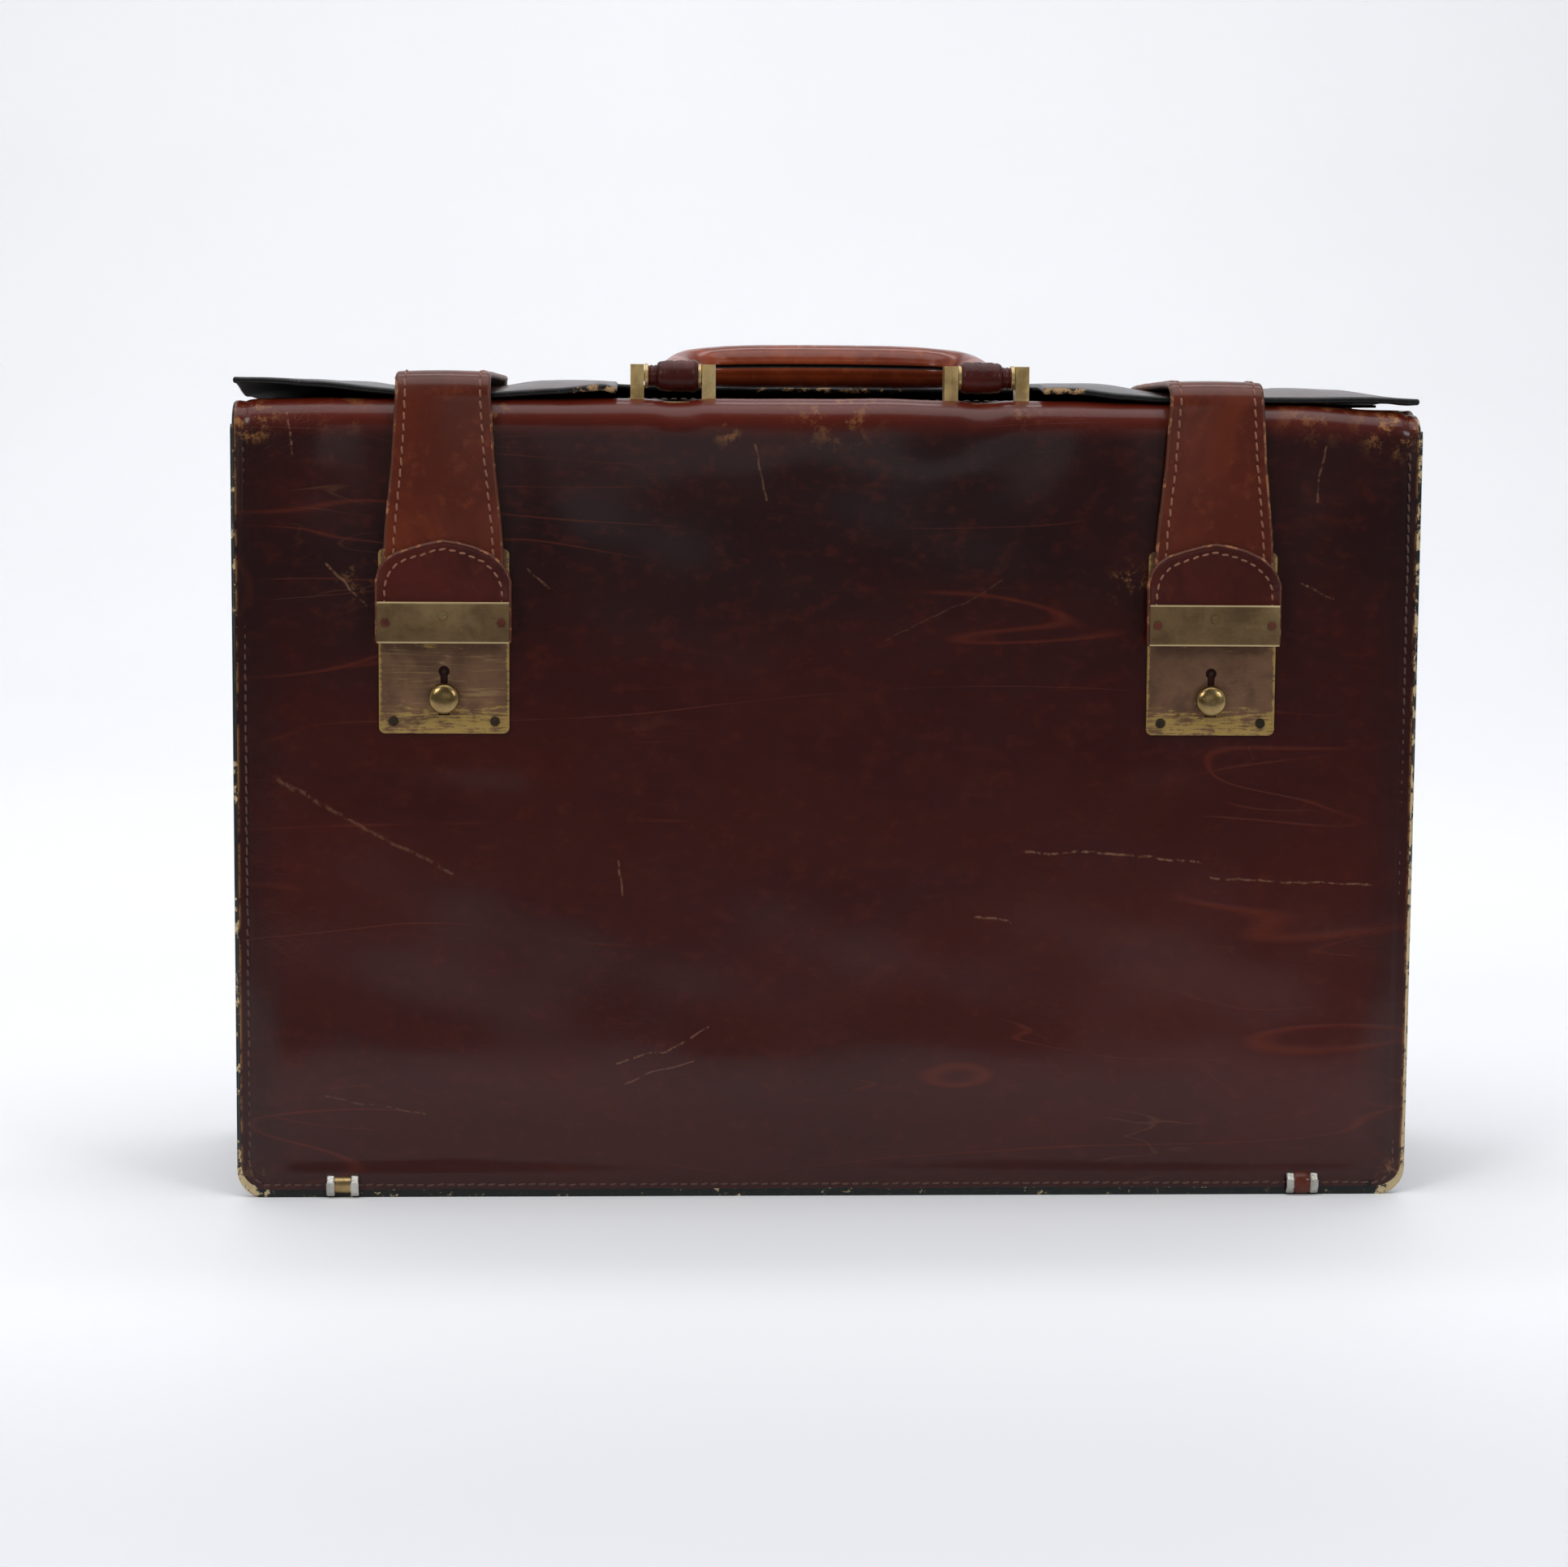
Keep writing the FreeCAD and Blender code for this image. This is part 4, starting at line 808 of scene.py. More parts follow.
def make_front():
    patch = Patch()
    path = rounded_path([(FRONT, 0), (FRONT, FRONT_TOP), (-54, FRONT_TOP), (-45, TOP), (RAIL_BACK, TOP)],
                        [FOLD, 6, 6], 2.2)
    across = path_normals(path, False)
    across = across if across[0, 0] < 0 else -across
    run = lengths(path)[:, None]
    half = HALF_WIDTH - SIDE_RIM
    x = columns(half, CORNER - 1, 2.2)[None, :]
    y = path[:, 0:1]
    z = lifted(x, run, path[:, 1:2], half, CORNER - 1, hem(x))
    outer = grid(x, y, z)
    normals = grid(0 * x, across[:, 0:1], across[:, 1:2])
    face = smoothstep(3, 30, run) * (1 - smoothstep(TOP - 26, TOP + 6, run))
    swell = face * (0.9 * (1 - (x / HALF_WIDTH) ** 2) + 0.3
                    + ripple(x, z, 3, ((200, 0.8), (95, 0.55), (42, 0.16))))
    wander = ripple(x, 0 * x, 9, ((170, 1.0),))
    belly = (1.5 + 0.7 * wander) * hump(z - 50 - 6 * wander, 20)
    belly = belly - (1.2 + 0.3 * wander) * hump(z - 18 - 3 * wander, 8)
    belly = belly * smoothstep(4, 14, z) * smoothstep(0, 16, HALF_WIDTH - 6 - np.abs(x))
    fold_wave = smoothstep(TOP - 34, TOP - 8, run) * ripple(x, run, 5, ((90, 0.35), (38, 0.25)))
    dent_across = (x - 207) * 0.62 - (z - 23) * 0.78
    dent_along = (x - 207) * 0.78 + (z - 23) * 0.62
    dents = (-1.0 * np.exp(-(dent_along / 2.6) ** 2 - (dent_across / 9) ** 2)
             - 0.9 * np.exp(-((x - 207) / 2.5) ** 2 - ((z - 6) / 4) ** 2)
             - 0.5 * np.exp(-((x + 212) / 4) ** 2 - ((z - 9) / 5) ** 2))
    worn = -0.85 * np.exp(-((np.abs(x) - 56.3) / 7) ** 4) * smoothstep(286, 293, z)
    dents = dents + worn * (1 - smoothstep(-54, -50, y))
    hem_dip = -0.45 * hump(z - hem(x) - 1.6, 1.0)
    amount = (swell + belly + fold_wave) * lock_shelter(x, z) + dents + seam_groove(x, z) + hem_dip
    outer = outer + normals * amount[:, :, None]
    upper = smoothstep(TOP - 24, TOP, run)
    crown = (1.1 * hump(x, 95) - 1.9 * smoothstep(172, 210, x) - 1.7 * smoothstep(210, HALF_WIDTH, x)
             - 0.9 * smoothstep(208, HALF_WIDTH, -x))
    outer[:, :, 2] += crown * upper * (1 - smoothstep(-54, -46, y))
    sheet(patch, outer, normals, HIDE)
    make_rim(patch, FRONT, -1)
    seam_stitches(patch, FRONT, -1)
    panel = patch.build("front_leather", [body_leather, hem_edge, flesh_side, stitch_dark, hole_shadow])
    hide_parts("front_panel")
    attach(panel, "case")


def seam_stitches(patch, face, way, inset=4.4, top=281):
    """Stitch rows up both sides of a panel, round its lower corners and along its lower edge."""
    side = HALF_WIDTH - inset
    base = [(-side, top), (-side, RIM + 1.6), (side, RIM + 1.6), (side, top)]
    line = rounded_path(base, [CORNER - 3, CORNER - 3], 3)
    points = np.stack([line[:, 0], np.full(len(line), face - way * 0.45), line[:, 1]], 1)
    stitches(patch, points, (0, way, 0), 3, sink=0.15, holes=4)


def make_back():
    patch = Patch()
    top = box_mm("back_panel")[1][2]
    path = rounded_path([(BACK, 0), (BACK, top)], [], 3)
    run = lengths(path)[:, None]
    half = HALF_WIDTH - SIDE_RIM
    x = columns(half, CORNER - 1, 3)[None, :]
    z = lifted(x, run, path[:, 1:2], half, CORNER - 1, hem(x + 31))
    outer = grid(x, path[:, 0:1], z)
    strap = hump(from_lock(x, 18), 12)
    face = smoothstep(2, 40, run) * (1 - smoothstep(150, 250, run)) * (1 - strap)
    swell = face * (1.2 * (1 - (x / HALF_WIDTH) ** 2)
                    + ripple(x, z, 8, ((170, 0.6), (70, 0.35), (34, 0.14))))
    outer[:, :, 1] += swell + seam_groove(x, z)
    sheet(patch, outer, facing(outer, 1, 1), HIDE)
    make_rim(patch, BACK, 1)
    seam_stitches(patch, BACK, 1, top=250)
    panel = patch.build("back_leather", [body_leather, hem_edge, flesh_side, stitch_dark, hole_shadow])
    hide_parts("back_panel")
    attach(panel, "case")


def flange_strip(patch, outer_line, inner_line, start, way):
    """Turned-out edge of the gusset, seen between the panel and the side."""
    points = between(outer_line, inner_line, np.linspace(0, 1, 4)[None, :], start + way * FLANGE)
    sheet(patch, points, facing(points, 1, way), FLANGE, finishes=(0, 1, 0), bulge=0.3)


def make_gusset(side, hand):
    patch = Patch()
    wall, low = HALF_WIDTH - 5, 3.0
    high = box_mm("gusset_left")[1][2]
    path = rounded_path([(hand * wall, high), (hand * wall, low), (hand * FLANGE_END, low)],
                        [CORNER - 5], 2.5)
    across = path_normals(path, hand > 0)
    across = -across if across[0, 0] * hand < 0 else across
    inside = BACK - HIDE
    y = np.linspace(-inside, inside, 60)[None, :]
    run = lengths(path)[:, None]
    outer = grid(path[:, 0:1], y, path[:, 1:2])
    normals = grid(across[:, 0:1], 0 * y, across[:, 1:2])
    valley = 1 - 0.9 * np.exp(-(y / (4 + 5 * smoothstep(0, 200, run))) ** 2)
    lobes = 2.3 * (1 - (y / inside) ** 2) * valley
    fade = smoothstep(-4, 40, run) * (1 - smoothstep(high - 60, high - 8, run))
    slack = fade * (lobes + ripple(y * 1.2, run, 21 + hand, ((90, 0.6), (40, 0.18))))
    outer = outer + normals * slack[:, :, None]
    below_fold = HIDDEN_TOP + (high - HIDDEN_TOP) * smoothstep(-58, -46, y)
    outer[:, :, 2] = np.minimum(outer[:, :, 2], below_fold)
    sheet(patch, outer, normals, HIDE)
    rims = []
    for reach, base, bend in ((HALF_WIDTH, 0, CORNER), (wall, low, CORNER - 5)):
        rims.append(rounded_path([(hand * reach, HIDDEN_TOP + 1), (hand * reach, base),
                                  (hand * FLANGE_END, base)], [bend], 2.5))
    count = max(len(rim) for rim in rims)
    even = np.linspace(0, 1, count)
    rim_out, rim_in = (sampled(even, lengths(rim) / lengths(rim)[-1], rim) for rim in rims)
    for way, start in ((1, -inside), (-1, inside)):
        flange_strip(patch, rim_out, rim_in, start, way)
        middle = rim_out * 0.25 + rim_in * 0.75
        line = np.stack([middle[:, 0] + hand * 0.2, np.full(count, start + way * FLANGE),
                         middle[:, 1]], 1)
        stitches(patch, line[2:-2], (0, way, 0), 3)
    piece = patch.build(f"gusset_leather_{side}", [side_leather, black_edge, flesh_side, stitch_dark])
    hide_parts(f"gusset_{side}")
    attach(piece, "case")


def make_bottom():
    patch = Patch()
    inside = BACK - HIDE
    line = np.linspace(-FLANGE_END, FLANGE_END, 120)
    x, y = np.meshgrid(line, np.linspace(-inside, inside, 50))
    sag = -1.2 * (1 - (y / inside) ** 2) * (1 - (x / FLANGE_END) ** 4)
    z = 3.0 + sag + 0.3 * ripple(x, y, 31, ((90, 1.0), (40, 0.5))) * (1 - (y / inside) ** 2)
    outer = grid(x, y, z)
    sheet(patch, outer, facing(outer, 2, -1), HIDE)
    for way, start in ((1, -inside), (-1, inside)):
        flange_strip(patch, np.stack([line, 0 * line], 1), np.stack([line, 0 * line + 3.2], 1),
                     start, way)
    piece = patch.build("bottom_leather", [side_leather, black_edge, flesh_side])
    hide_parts("bottom_panel")
    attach(piece, "case")


def make_handle_panel():
    patch = Patch()
    low, high = PANEL_LOW, PANEL_HIGH
    x, y = np.meshgrid(np.linspace(low[0] + 1, high[0] - 1, 90), np.linspace(low[1] + 1, high[1] - 1, 34))
    outer = grid(x, y, high[2] + 0.12 * ripple(x, y, 41, ((50, 1.0), (22, 0.6))))
    sheet(patch, outer, facing(outer, 2, 1), high[2] - low[2])
    inset, front_end = 4.0, low[1] + 12
    around = [(high[0] - inset, front_end), (high[0] - inset, high[1] - inset),
              (low[0] + inset, high[1] - inset), (low[0] + inset, front_end)]
    line = rounded_path(around, [2, 2], 4)
    points = np.stack([line[:, 0], line[:, 1], np.full(len(line), high[2])], 1)
    stitches(patch, points, (0, 0, 1), 3)
    piece = patch.build("handle_panel_leather", [flap_hide, black_edge, flesh_side, stitch_dark])
    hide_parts("handle_panel")
    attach(piece, "case")


# ------------------------------------------------------------------ flap

FLAP_TOP = FLAP_HIGH[2]
FLAP_OUT = BACK + 2.5     # the flap's outer face down the back
FLAP_TAIL = 252           # where its sewn end stops
NOTCH_HALF = 79.5
NOTCH_BACK = 13.0
# how far the front edge stands above the case's top, from left to right
CURL_X = (-219, -187, -159, -126, -100, -84, -79, 79, 92, 106, 125, 174, 193, 219)
CURL_RISE = (5.2, 3.6, 0.8, 0.0, 1.4, 3.0, 1.6, 2.4, 2.2, 0.6, 0.0, 0.2, 0.2, 0.0)


def flap_dome(x, y):
    """Soft rise of the flap between its front edge and the fold over the back."""
    share = np.clip((y - FLAP_LOW[1] + 4) / (58 - FLAP_LOW[1]), 0, 1)
    reach = np.interp(np.abs(x), (0, 60, 85, 170, 200, 219), (4.5, 4.9, 5.6, 5.4, 3.6, 0.3))
    hold = hump(from_lock(x, 17), 12)
    return reach * (1 - 0.45 * hold) * np.sin(math.pi * share) ** 0.9


def make_flap():
    patch = Patch()
    path = rounded_path([(FLAP_OUT, FLAP_TAIL), (FLAP_OUT, FLAP_TOP), (FLAP_LOW[1], FLAP_TOP)], [9], 2.2)
    on_top = path[:, 1] > FLAP_TOP - 0.01
    rows_y = np.where(on_top & (np.abs(path[:, 0] - NOTCH_BACK) < 1.2), NOTCH_BACK, path[:, 0])
    path = np.stack([rows_y, path[:, 1]], 1)
    across = path_normals(path, False)
    half = FLAP_HIGH[0]
    x = np.linspace(-half, half, 201)
    for edge in (-NOTCH_HALF, NOTCH_HALF):
        x[np.argmin(np.abs(x - edge))] = edge
    x = x[None, :]
    y, z = path[:, 0:1], path[:, 1:2]
    top_share = 1 - smoothstep(20, 45, y)
    near_front = 1 - smoothstep(0, 42, y - FLAP_LOW[1])
    near_side = smoothstep(half - 26, half, np.abs(x))
    curl = np.interp(x, CURL_X, CURL_RISE) * near_front
    edge_curl = 0.5 * near_side * top_share * (0.6 + 0.4 * np.sin(y / 17 + x / 300))
    waves = top_share * ripple(x, y, 51, ((120, 0.35), (50, 0.25), (24, 0.1)))
    strap_hold = hump(from_lock(x, 17), 9)
    z = z + curl + flap_dome(x, y) + (edge_curl + waves) * (1 - 0.9 * strap_hold)
    z = z + 0.7 * (1 - smoothstep(-20, 30, y))
    y = y + near_front * 1.1 * np.abs(ripple(x, 0 * x, 53, ((60, 1.0),)))
    outer = grid(x, y, z)
    normals = unit(np.cross(np.gradient(outer, axis=0), np.gradient(outer, axis=1)))
    reference = grid(0 * x, across[:, 0:1], across[:, 1:2])
    normals = normals * np.sign((normals * reference).sum(2, keepdims=True))
    middle_y = (path[:-1, 0] + path[1:, 0])[:, None] / 2
    middle_x = (x[:, :-1] + x[:, 1:]) / 2
    keep = ~((np.abs(middle_x) < NOTCH_HALF) & (middle_y < NOTCH_BACK) & on_top[:-1, None])
    sheet(patch, outer, normals, FLAP_HIDE, keep=keep, bulge=0.35)
    for row in (2, 5):
        stitches(patch, outer[row, 3:-3], normals[row, 3:-3], 3)
    # The flap's inside takes the near-black lining, partly painted shade.
    piece = patch.build("flap_skin", [flap_hide, black_edge, dark_lining, stitch_dark])
    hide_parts("flap_leather", "flap_lining")
    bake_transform(piece)


# ------------------------------------------------------------------ straps

def strap_sheet(patch, path, half, centre, left, bare_end):
    """Strap along a (y, z) path; half gives its half-width at each point. The path's last
    point is where the strap's other piece carries on; bare_end points have no stitches."""
    inset, crown = 2.8, 0.45
    across = path_normals(path, left)
    across[-1] = SPLIT_NORMAL
    share = np.sin(np.linspace(-math.pi / 2, math.pi / 2, 15))[None, :]
    bow = crown * (1 - share ** 2)
    outer = grid(centre + share * half[:, None], path[:, 0:1] + across[:, 0:1] * bow,
                 path[:, 1:2] + across[:, 1:2] * bow)
    normals = grid(0 * share, across[:, 0:1], across[:, 1:2])
    sheet(patch, outer, normals, STRAP_HIDE, open_end=True)
    for hand in (-1, 1):
        rise = crown * (1 - ((half - inset) / half) ** 2)
        line = np.stack([centre + hand * (half - inset), path[:, 0] + across[:, 0] * rise,
                         path[:, 1] + across[:, 1] * rise], 1)
        flat = np.stack([0 * half, across[:, 0], across[:, 1]], 1)
        stitches(patch, line[bare_end:], flat[bare_end:], 3, pitch=4.1, size=3.1, holes=4)


STRAP_FACE = box_mm("strap_drop_left")[0][1]
SPLIT_Y = -30.0                    # where a strap's rear and front pieces meet
SPLIT_NORMAL = (0.0225, 0.99975)
APEX = {"left": 308.4, "right": 306.4}


def strap_crest(side):
    """Height of the strap's outer face where its rear and front pieces meet."""
    return APEX[side] - 0.6


def make_strap_rear(side, hand):
    patch = Patch()
    low = box_mm(f"strap_anchor_{side}")[0][2]
    out, lying = BACK + 5.2, FLAP_TOP + 2.7
    crest = strap_crest(side)
    path = rounded_path([(BACK + 2.7, low), (BACK + 2.7, 238), (out, 256), (out, lying + 0.2),
                         (46, lying), (10, crest - 0.9), (SPLIT_Y, crest)], [30, 30, 10, 60, 60], 2.2)
    half = np.interp(path[:, 0], (SPLIT_Y, -5, 30, BACK), (18.4, 20.6, 19.0, 17.0))
    toe = np.clip((path[:, 1] - low) / 14, 0, 1)
    half = np.where(path[:, 0] > BACK, half * (0.35 + 0.65 * np.sqrt(1 - (1 - toe) ** 2)), half)
    strap_sheet(patch, path, half, hand * LOCK_X, left=False, bare_end=4)
    piece = patch.build(f"strap_rear_{side}", [strap_hide, strap_edge, flesh_side, stitch_light,
                                               hole_shadow])
    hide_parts(f"strap_anchor_{side}", f"strap_bridge_{side}")
    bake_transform(piece)


def make_strap_front(side, hand):
    patch = Patch()
    crest, apex = strap_crest(side), APEX[side]
    bottom = box_mm(f"strap_drop_{side}")[0][2]
    path = rounded_path([(STRAP_FACE, bottom), (STRAP_FACE - 0.3, apex - 0.6), (-48, apex - 0.2),
                         (SPLIT_Y, crest)], [9, 60], 1.8)
    half = np.interp(path[:, 1], (235, 250, 275, 300), (21.4, 20.6, 18.0, 16.4))
    half = np.where(path[:, 0] > STRAP_FACE + 6, np.interp(path[:, 0], (-58, SPLIT_Y), (16.4, 18.4)),
                    half)
    sway = ripple(path[:, 1], 0 * path[:, 1], 61 + hand, ((70, 0.5),))
    path = np.stack([path[:, 0] - 0.4 * np.maximum(sway, 0), path[:, 1]], 1)
    strap_sheet(patch, path, half, hand * LOCK_X, left=True, bare_end=10)
    piece = patch.build(f"strap_front_{side}", [strap_hide, strap_edge, flesh_side, stitch_light,
                                                hole_shadow])
    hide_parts(f"strap_drop_{side}")
    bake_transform(piece)


TAB_HALF = 24.2
TAB_X = (-24.2, -23.2, -21.0, -17.5, -11.0, -5.0, 0.0, 5.5, 11.5, 17.0, 20.5, 23.0, 24.2)
TAB_TOP = (231.5, 235.5, 238.8, 241.2, 243.4, 245.0, 245.9, 245.1, 243.5, 241.0, 238.2, 234.8, 231.5)


def make_tab(side, hand):
    patch = Patch()
    low, high = box_mm(f"strap_tab_{side}")
    x = np.linspace(-TAB_HALF, TAB_HALF, 49)[None, :]
    top = np.interp(x, TAB_X, TAB_TOP)
    z = low[2] + (top - low[2]) * np.linspace(0, 1, 30)[:, None]
    drape = 1.5 * smoothstep(20.5, TAB_HALF, np.abs(x)) * smoothstep(low[2] + 12, high[2], z)
    outer = grid(hand * LOCK_X + x, low[1] - 0.35 + drape + 0.3 * (x / TAB_HALF) ** 2, z)
    sheet(patch, outer, facing(outer, 1, -1), TAB_HIDE)
    inset = 2.7
    reach = TAB_HALF - inset
    line_x = np.concatenate([[-reach] * 3, np.linspace(-reach, reach, 40), [reach] * 3])
    line_top = np.interp(line_x * TAB_HALF / reach, TAB_X, TAB_TOP) - inset
    line_top[:3], line_top[-3:] = (214, 221, 227), (227, 221, 214)
    line_y = low[1] + np.interp(np.abs(line_x), (0, 20.5, TAB_HALF), (-0.35, -0.1, 0.6))
    line = np.stack([hand * LOCK_X + line_x, line_y, line_top], 1)
    stitches(patch, line, (0, -1, 0), 3, pitch=3.6, size=2.7, holes=4)
    piece = patch.build(f"tab_{side}", [tab_hide, strap_edge, flesh_side, stitch_light, hole_shadow])
    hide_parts(f"strap_tab_{side}")
    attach(piece, f"strap_{side}")


# ------------------------------------------------------------------ handle

def make_grip():
    patch = Patch()
    reach = box_mm("handle_core")[1][1] - 2.6
    span, bend = 56.5, 22.0
    line = rounded_path([(-span, PIN_Y + 4.5), (-span, reach), (span, reach), (span, PIN_Y + 4.5)],
                        [bend, bend], 1.2)
    rise = 3.6 * smoothstep(PIN_Y + 6, reach - 2, line[:, 1])
    rise = rise + 0.8 * (1 - np.clip(np.abs(line[:, 0]) / span, 0, 1) ** 2)
    centres = np.stack([line[:, 0], line[:, 1], PIN_Z + rise], 1)
    tangent = unit(np.gradient(centres, axis=0))
    across = unit(np.cross(tangent, [0, 0, 1.0]))
    up = np.cross(across, tangent)
    inner = across if across[len(across) // 2] @ np.array([0, -1, 0]) > 0 else -across
    run = lengths(centres)
    share = np.abs(run / run[-1] * 2 - 1)
    radii = 8.4 - 2.9 * smoothstep(0.3, 0.97, share)
    sides = 72
    angles = np.arange(sides) * 2 * math.pi / sides
    turn = (angles + math.pi) % (2 * math.pi) - math.pi
    groove = -0.85 * hump(turn + 0.02, 0.055)
    lip = 0.30 * hump(turn - 0.15, 0.10)
    lower_line = -0.28 * hump(turn + 0.42, 0.05)
    profile = groove + lip + lower_line
    seam_share = 1 - smoothstep(0.86, 0.98, share)
    wrinkle = ripple(run[:, None], angles[None, :] * 9, 81, ((16, 0.22), (7, 0.12)))
    size = (radii[:, None] + profile[None, :] * seam_share[:, None]
            + wrinkle * (0.25 + 0.75 * smoothstep(0.55, 0.9, share))[:, None])
    points = (centres[:, None] + inner[:, None] * (np.cos(angles)[None, :] * size)[:, :, None]
              + up[:, None] * (0.97 * np.sin(angles)[None, :] * size)[:, :, None])
    rows = len(line)
    # Faces along the seam groove take hole_shadow: painted shade in the groove.
    dark = [1 if abs(turn[k] + 0.02) < 0.07 and 0.04 * rows < r < 0.96 * rows else 0
            for r in range(rows - 1) for k in range(sides)]
    patch.add(points, ring_faces(rows, sides), dark + [0, 0])
    piece = patch.build("grip_leather", [grip_hide, hole_shadow], sharp=60)
    face_outward(piece)
    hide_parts("handle_grip")
    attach(piece, "handle")


def face_outward(piece):
    """Turn every face of a closed piece to point out of it."""
    work = bmesh.new()
    work.from_mesh(piece.data)
    bmesh.ops.recalc_face_normals(work, faces=work.faces)
    work.to_mesh(piece.data)
    work.free()


def make_sleeves():
    patch = Patch()
    inner, barrel, outer = 48.9, 64.0, 67.5
    for hand in (-1, 1):
        profile = [(inner, 3.4), (inner, 5.0), (inner + 0.7, 5.65)]
        for t in np.linspace(0, 1, 16)[1:-1]:
            profile.append((inner + 0.7 + t * (barrel - inner - 1.5), 5.85 - 0.35 * t ** 3
                            + 0.13 * math.sin(t * 19) + 0.1 * math.sin(t * 41 + hand)))
        profile += [(barrel - 0.6, 5.2), (barrel, 4.6), (barrel + 0.2, 3.9)]
        for t in np.linspace(0, 1, 7)[1:]:
            profile.append((barrel + 0.2 + t * (outer - barrel - 0.2), 3.9 + 0.2 * math.sin(t * 13)))
        profile.append((outer, 3.3))
        lathe(patch, [(hand * s, r) for s, r in profile], (0, PIN_Y, PIN_Z), "x", 0, sides=40)
    piece = patch.build("sleeve_leather", [sleeve_hide])
    face_outward(piece)
    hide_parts("handle_sleeves")
    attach(piece, "handle")


# ------------------------------------------------------------------ feet and knobs

def make_feet():
    rings, wraps = Patch(), Patch()
    foot_y, foot_z = 63.5, 4.7
    for way in (-1, 1):
        for hand in (-1, 1):
            middle = np.array([hand * FOOT_X, way * foot_y, foot_z])
            for start in (-6.0, 3.0):
                profile = [(start, 3.3), (start, 4.35), (start + 0.4, 4.7), (start + 2.6, 4.7),
                           (start + 3.0, 4.35), (start + 3.0, 3.3)]
                lathe(rings, profile, middle, "x", 0, sides=10, phase=0.31)
            if (way, hand) == (-1, -1):
                continue
            profile = [(-3.0, 3.3), (-3.0, 4.1), (-2.2, 4.45), (0, 4.5), (2.2, 4.45), (3.0, 4.1),
                       (3.0, 3.3)]
            lathe(wraps, profile, middle, "x", 0, sides=28)
    piece = rings.build("foot_ring_metal", [nickel], sharp=20)
    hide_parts("foot_rings")
    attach(piece, "case")
    piece = wraps.build("foot_wrap_leather", [strap_hide])
    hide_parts("foot_wraps")
    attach(piece, "case")


def make_knob(side, hand):
    patch = Patch()
    low, high = box_mm(f"lock_knob_{side}")
    middle = ((low[0] + high[0]) / 2, 0, (low[2] + high[2]) / 2)
    face, radius = low[1], (high[0] - low[0]) / 2
    profile = [(face - 0.25, 0.2), (face - 0.2, radius * 0.3), (face + 0.05, radius * 0.6),
               (face + 0.6, radius * 0.85), (face + 1.3, radius * 0.97), (face + 2.1, radius),
               (face + 2.9, radius * 0.97), (face + 3.2, radius * 0.9), (face + 3.2, 1.8), (high[1], 1.8),
               (high[1], 0.3)]
    lathe(patch, profile, middle, "y", 0, sides=48)
    piece = patch.build(f"knob_{side}", [knob_brass])
    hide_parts(f"lock_knob_{side}")
    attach(piece, f"knob_{side}")


# ------------------------------------------------------------------ carried-over CAD nodes

def paint_nodes():
    plain = {
        "front_lining": lining_cloth, "back_lining": lining_cloth, "divider": lining_cloth,
        # The flap's board takes the near-black lining too: painted shade, so it stays unseen under the
        # flap.
        "front_board": board_paper, "back_board": board_paper, "bottom_board": board_paper,
        "flap_board": dark_lining, "top_rail": rail_wood, "handle_pins": light_brass,
        "handle_washers": light_brass, "handle_core": steel, "bracket_rivets": dark_metal,
        "foot_cores": knob_brass}
    for side in ("left", "right"):
        for node, finish in (("lock_case", hole_shadow), ("lock_key_post", dark_metal),
                             ("lock_backing", dark_metal), ("lock_rivets", dark_metal),
                             ("lock_bolt", steel), ("hasp_rivets", copper)):
            plain[f"{node}_{side}"] = finish
        softened(f"lock_plate_{side}", plate_brass, 0.3)
        softened(f"hasp_{side}", hasp_brass, 0.4)
        softened(f"handle_bracket_{side}", light_brass, 0.4)
    for node, finish in plain.items():
        thing = frame["nodes"][node]
        thing.data.materials.clear()
        thing.data.materials.append(finish)
    for side, hand in (("left", -1), ("right", 1)):
        thing = frame["nodes"][f"hasp_rivets_{side}"]
        thing.data.materials.append(knob_brass)
        for face in thing.data.polygons:
            if abs(face.center.x / MM - hand * LOCK_X) < 10:
                face.material_index = 1


# ------------------------------------------------------------------ stage, light and camera

FLOOR_FRONT = 0.90    # metres from the middle of the case to the paper's front edge
ROOM_FRONT = 0.10     # brightness of the room in front of the case and behind it
ROOM_BACK = 0.77


def make_stage():
    """Sheet of pale paper that starts in front of the case and sweeps up behind it."""
    path = rounded_path([(-FLOOR_FRONT, 0), (2.6, 0), (2.6, 4.0)], [1.1], 0.25)
    patch = Patch()
    x = np.linspace(-6, 6, 9)[None, :]
    points = np.stack([x + 0 * path[:, 0:1], path[:, 0:1] + 0 * x, path[:, 1:2] + 0 * x], 2) / MM
    rows, cols = points.shape[:2]
    index = np.arange(rows * cols).reshape(rows, cols)
    faces = [(index[r, c], index[r, c + 1], index[r + 1, c + 1], index[r + 1, c]) for r in range(rows - 1)
             for c in range(cols - 1)]
    p = Paint("studio_paper")
    pale = p.mix(p.noise(3.0), rgb(240, 241, 244), rgb(244, 245, 248))
    # Painted shade: from a little in front of the case the paper turns greyer towards the front.
    pale = p.mix(p.span(p.axis("Y"), -0.46, -0.14, 1.0, 0.0), pale, rgb(222, 223, 227))
    # Painted shade: near its front edge the paper darkens to a dark grey.
    painted_shade = p.span(p.axis("Y"), -0.78, -0.5, 1.0, 0.0)
    paper = p.finish(p.mix(painted_shade, pale, rgb(70, 71, 74)), 0.62, Specular_IOR_Level=0.35)
    patch.add(points, faces, 0)
    patch.build("studio_floor", [paper])


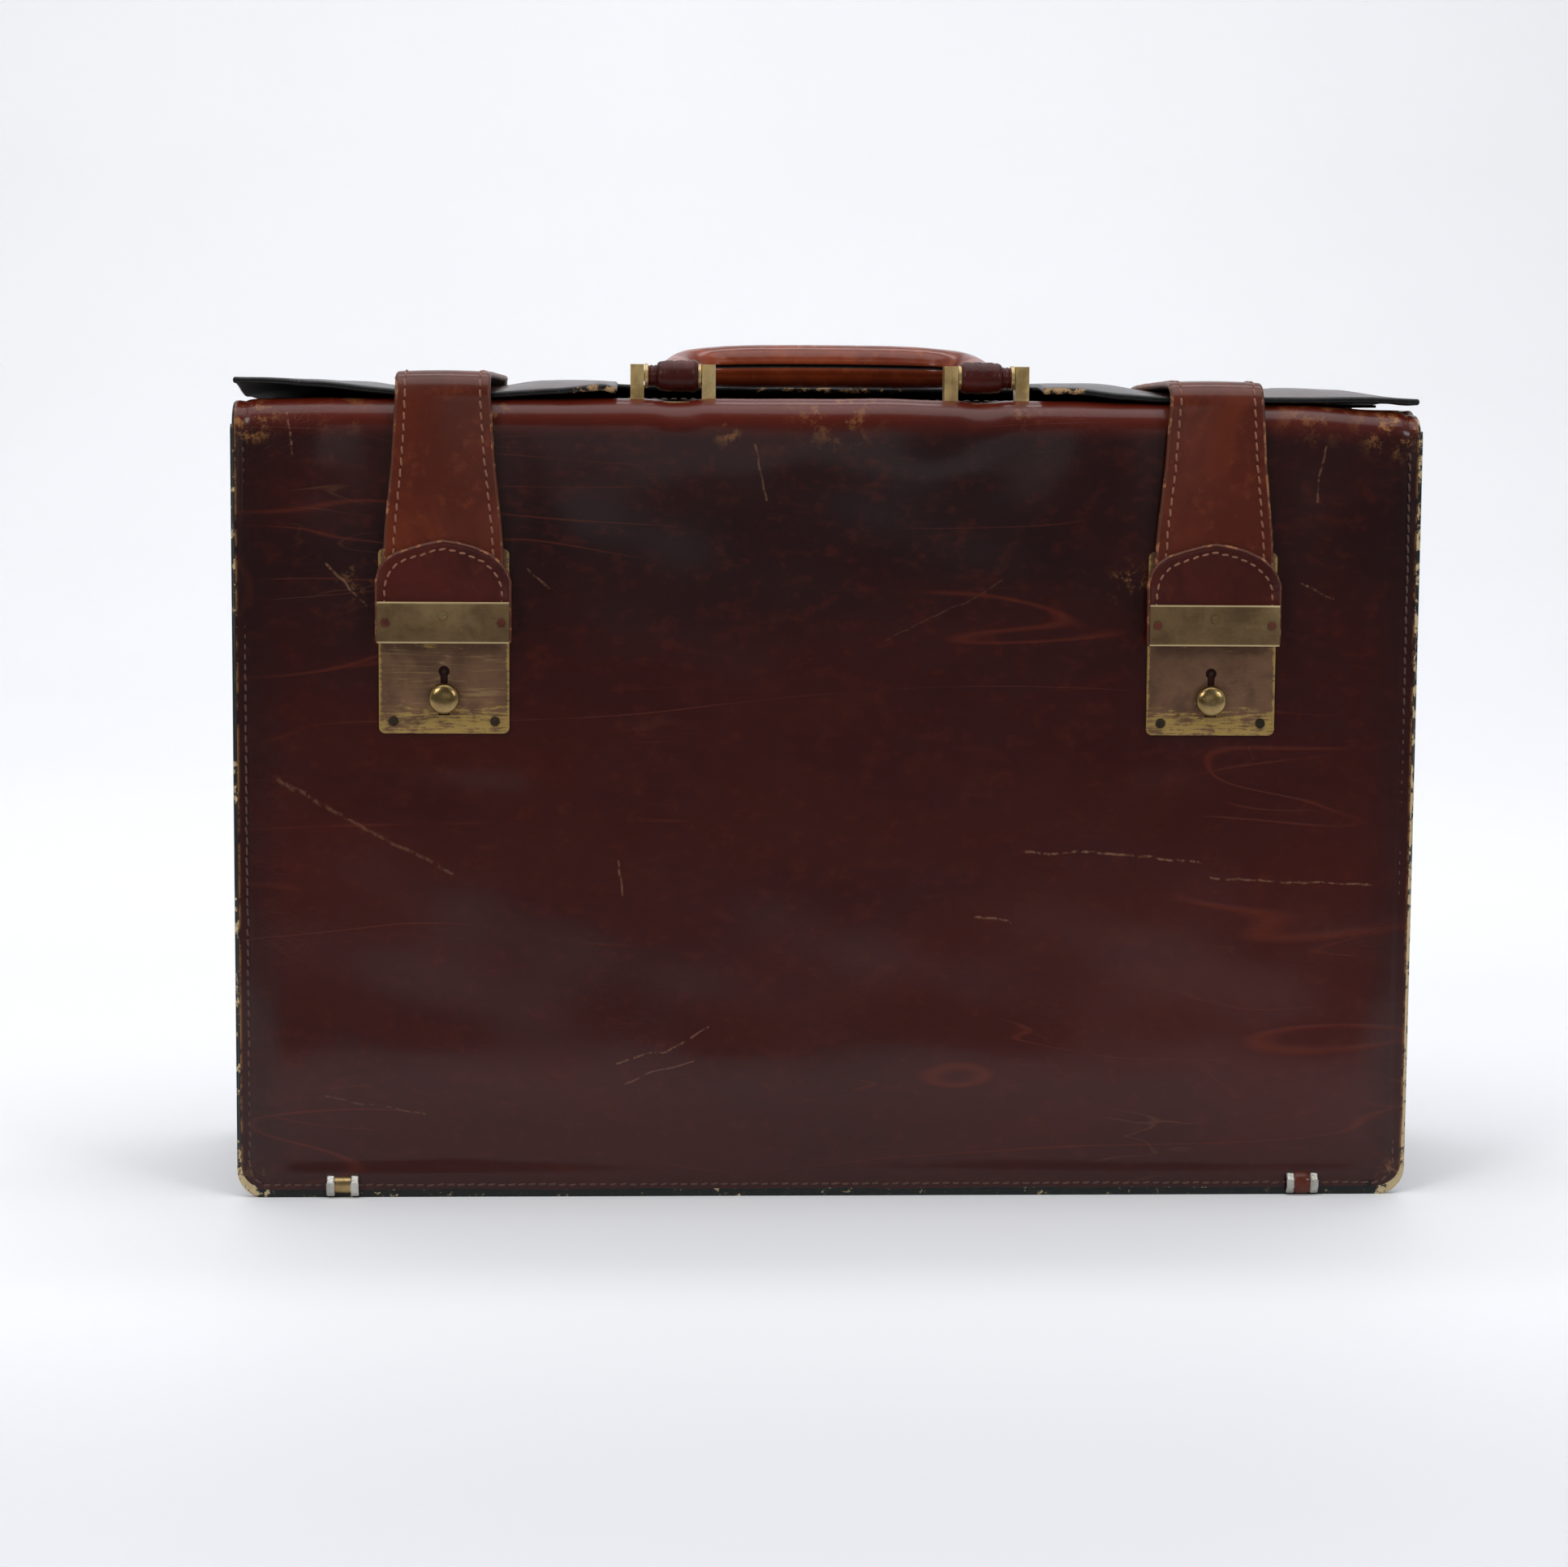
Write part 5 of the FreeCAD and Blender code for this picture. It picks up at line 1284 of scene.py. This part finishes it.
def area_light(name, place, target, size, power, colour=(1, 1, 1)):
    light = bpy.data.lights.new(name, "AREA")
    light.shape = "RECTANGLE"
    light.size, light.size_y = size
    light.energy = power
    light.color = colour
    thing = bpy.data.objects.new(name, light)
    thing.location = place
    thing.rotation_euler = (Vector(target) - Vector(place)).to_track_quat("-Z", "Y").to_euler()
    bpy.context.scene.collection.objects.link(thing)


def make_light():
    """Soft light from above and both sides; the room in front of the case stays dim."""
    world = bpy.data.worlds.new("studio")
    world.use_nodes = True
    tree = world.node_tree
    place = tree.nodes.new("ShaderNodeTexCoord")
    split = tree.nodes.new("ShaderNodeSeparateXYZ")
    tree.links.new(place.outputs["Generated"], split.inputs[0])
    level = tree.nodes.new("ShaderNodeMapRange")
    level.interpolation_type = "SMOOTHSTEP"
    tree.links.new(split.outputs["Y"], level.inputs["Value"])
    for key, value in (("From Min", -0.75), ("From Max", 0.15), ("To Min", ROOM_FRONT),
                       ("To Max", ROOM_BACK)):
        level.inputs[key].default_value = value
    background = tree.nodes["Background"]
    background.inputs["Color"].default_value = (0.94, 0.96, 1.0, 1)
    tree.links.new(level.outputs[0], background.inputs["Strength"])
    bpy.context.scene.world = world
    target = (0, 0, 0.15)
    area_light("overhead", (0.0, -0.5, 2.1), target, (2.2, 1.4), 19)
    area_light("backdrop", (0.0, 1.0, 2.6), (0, 2.6, 0.7), (3.0, 1.0), 37)
    area_light("front_left", (-1.5, -1.9, 1.5), target, (0.8, 0.8), 18, (1, 0.98, 0.95))
    area_light("room_glow", (0.1, -2.4, 0.42), (0, 0, 0.2), (0.8, 0.35), 0.8)
    area_light("front_right", (1.6, -1.9, 1.2), target, (0.7, 0.7), 12, (0.95, 0.98, 1))


def make_camera():
    camera = bpy.data.cameras.new("camera")
    camera.sensor_width = 36
    camera.lens = 80.1
    thing = bpy.data.objects.new("camera", camera)
    thing.location = (-0.07525, -1.3553, 0.29453)
    thing.rotation_euler = Euler([math.radians(v) for v in (83.90, -0.389, -2.5625)])
    bpy.context.scene.collection.objects.link(thing)
    bpy.context.scene.camera = thing


bpy.context.scene.view_settings.view_transform = "Standard"
make_front()
make_back()
make_gusset("left", -1)
make_gusset("right", 1)
make_bottom()
make_handle_panel()
make_flap()
for side, hand in (("left", -1), ("right", 1)):
    make_strap_rear(side, hand)
    make_strap_front(side, hand)
    make_tab(side, hand)
    make_knob(side, hand)
make_grip()
make_sleeves()
make_feet()
paint_nodes()
make_stage()
make_light()
make_camera()
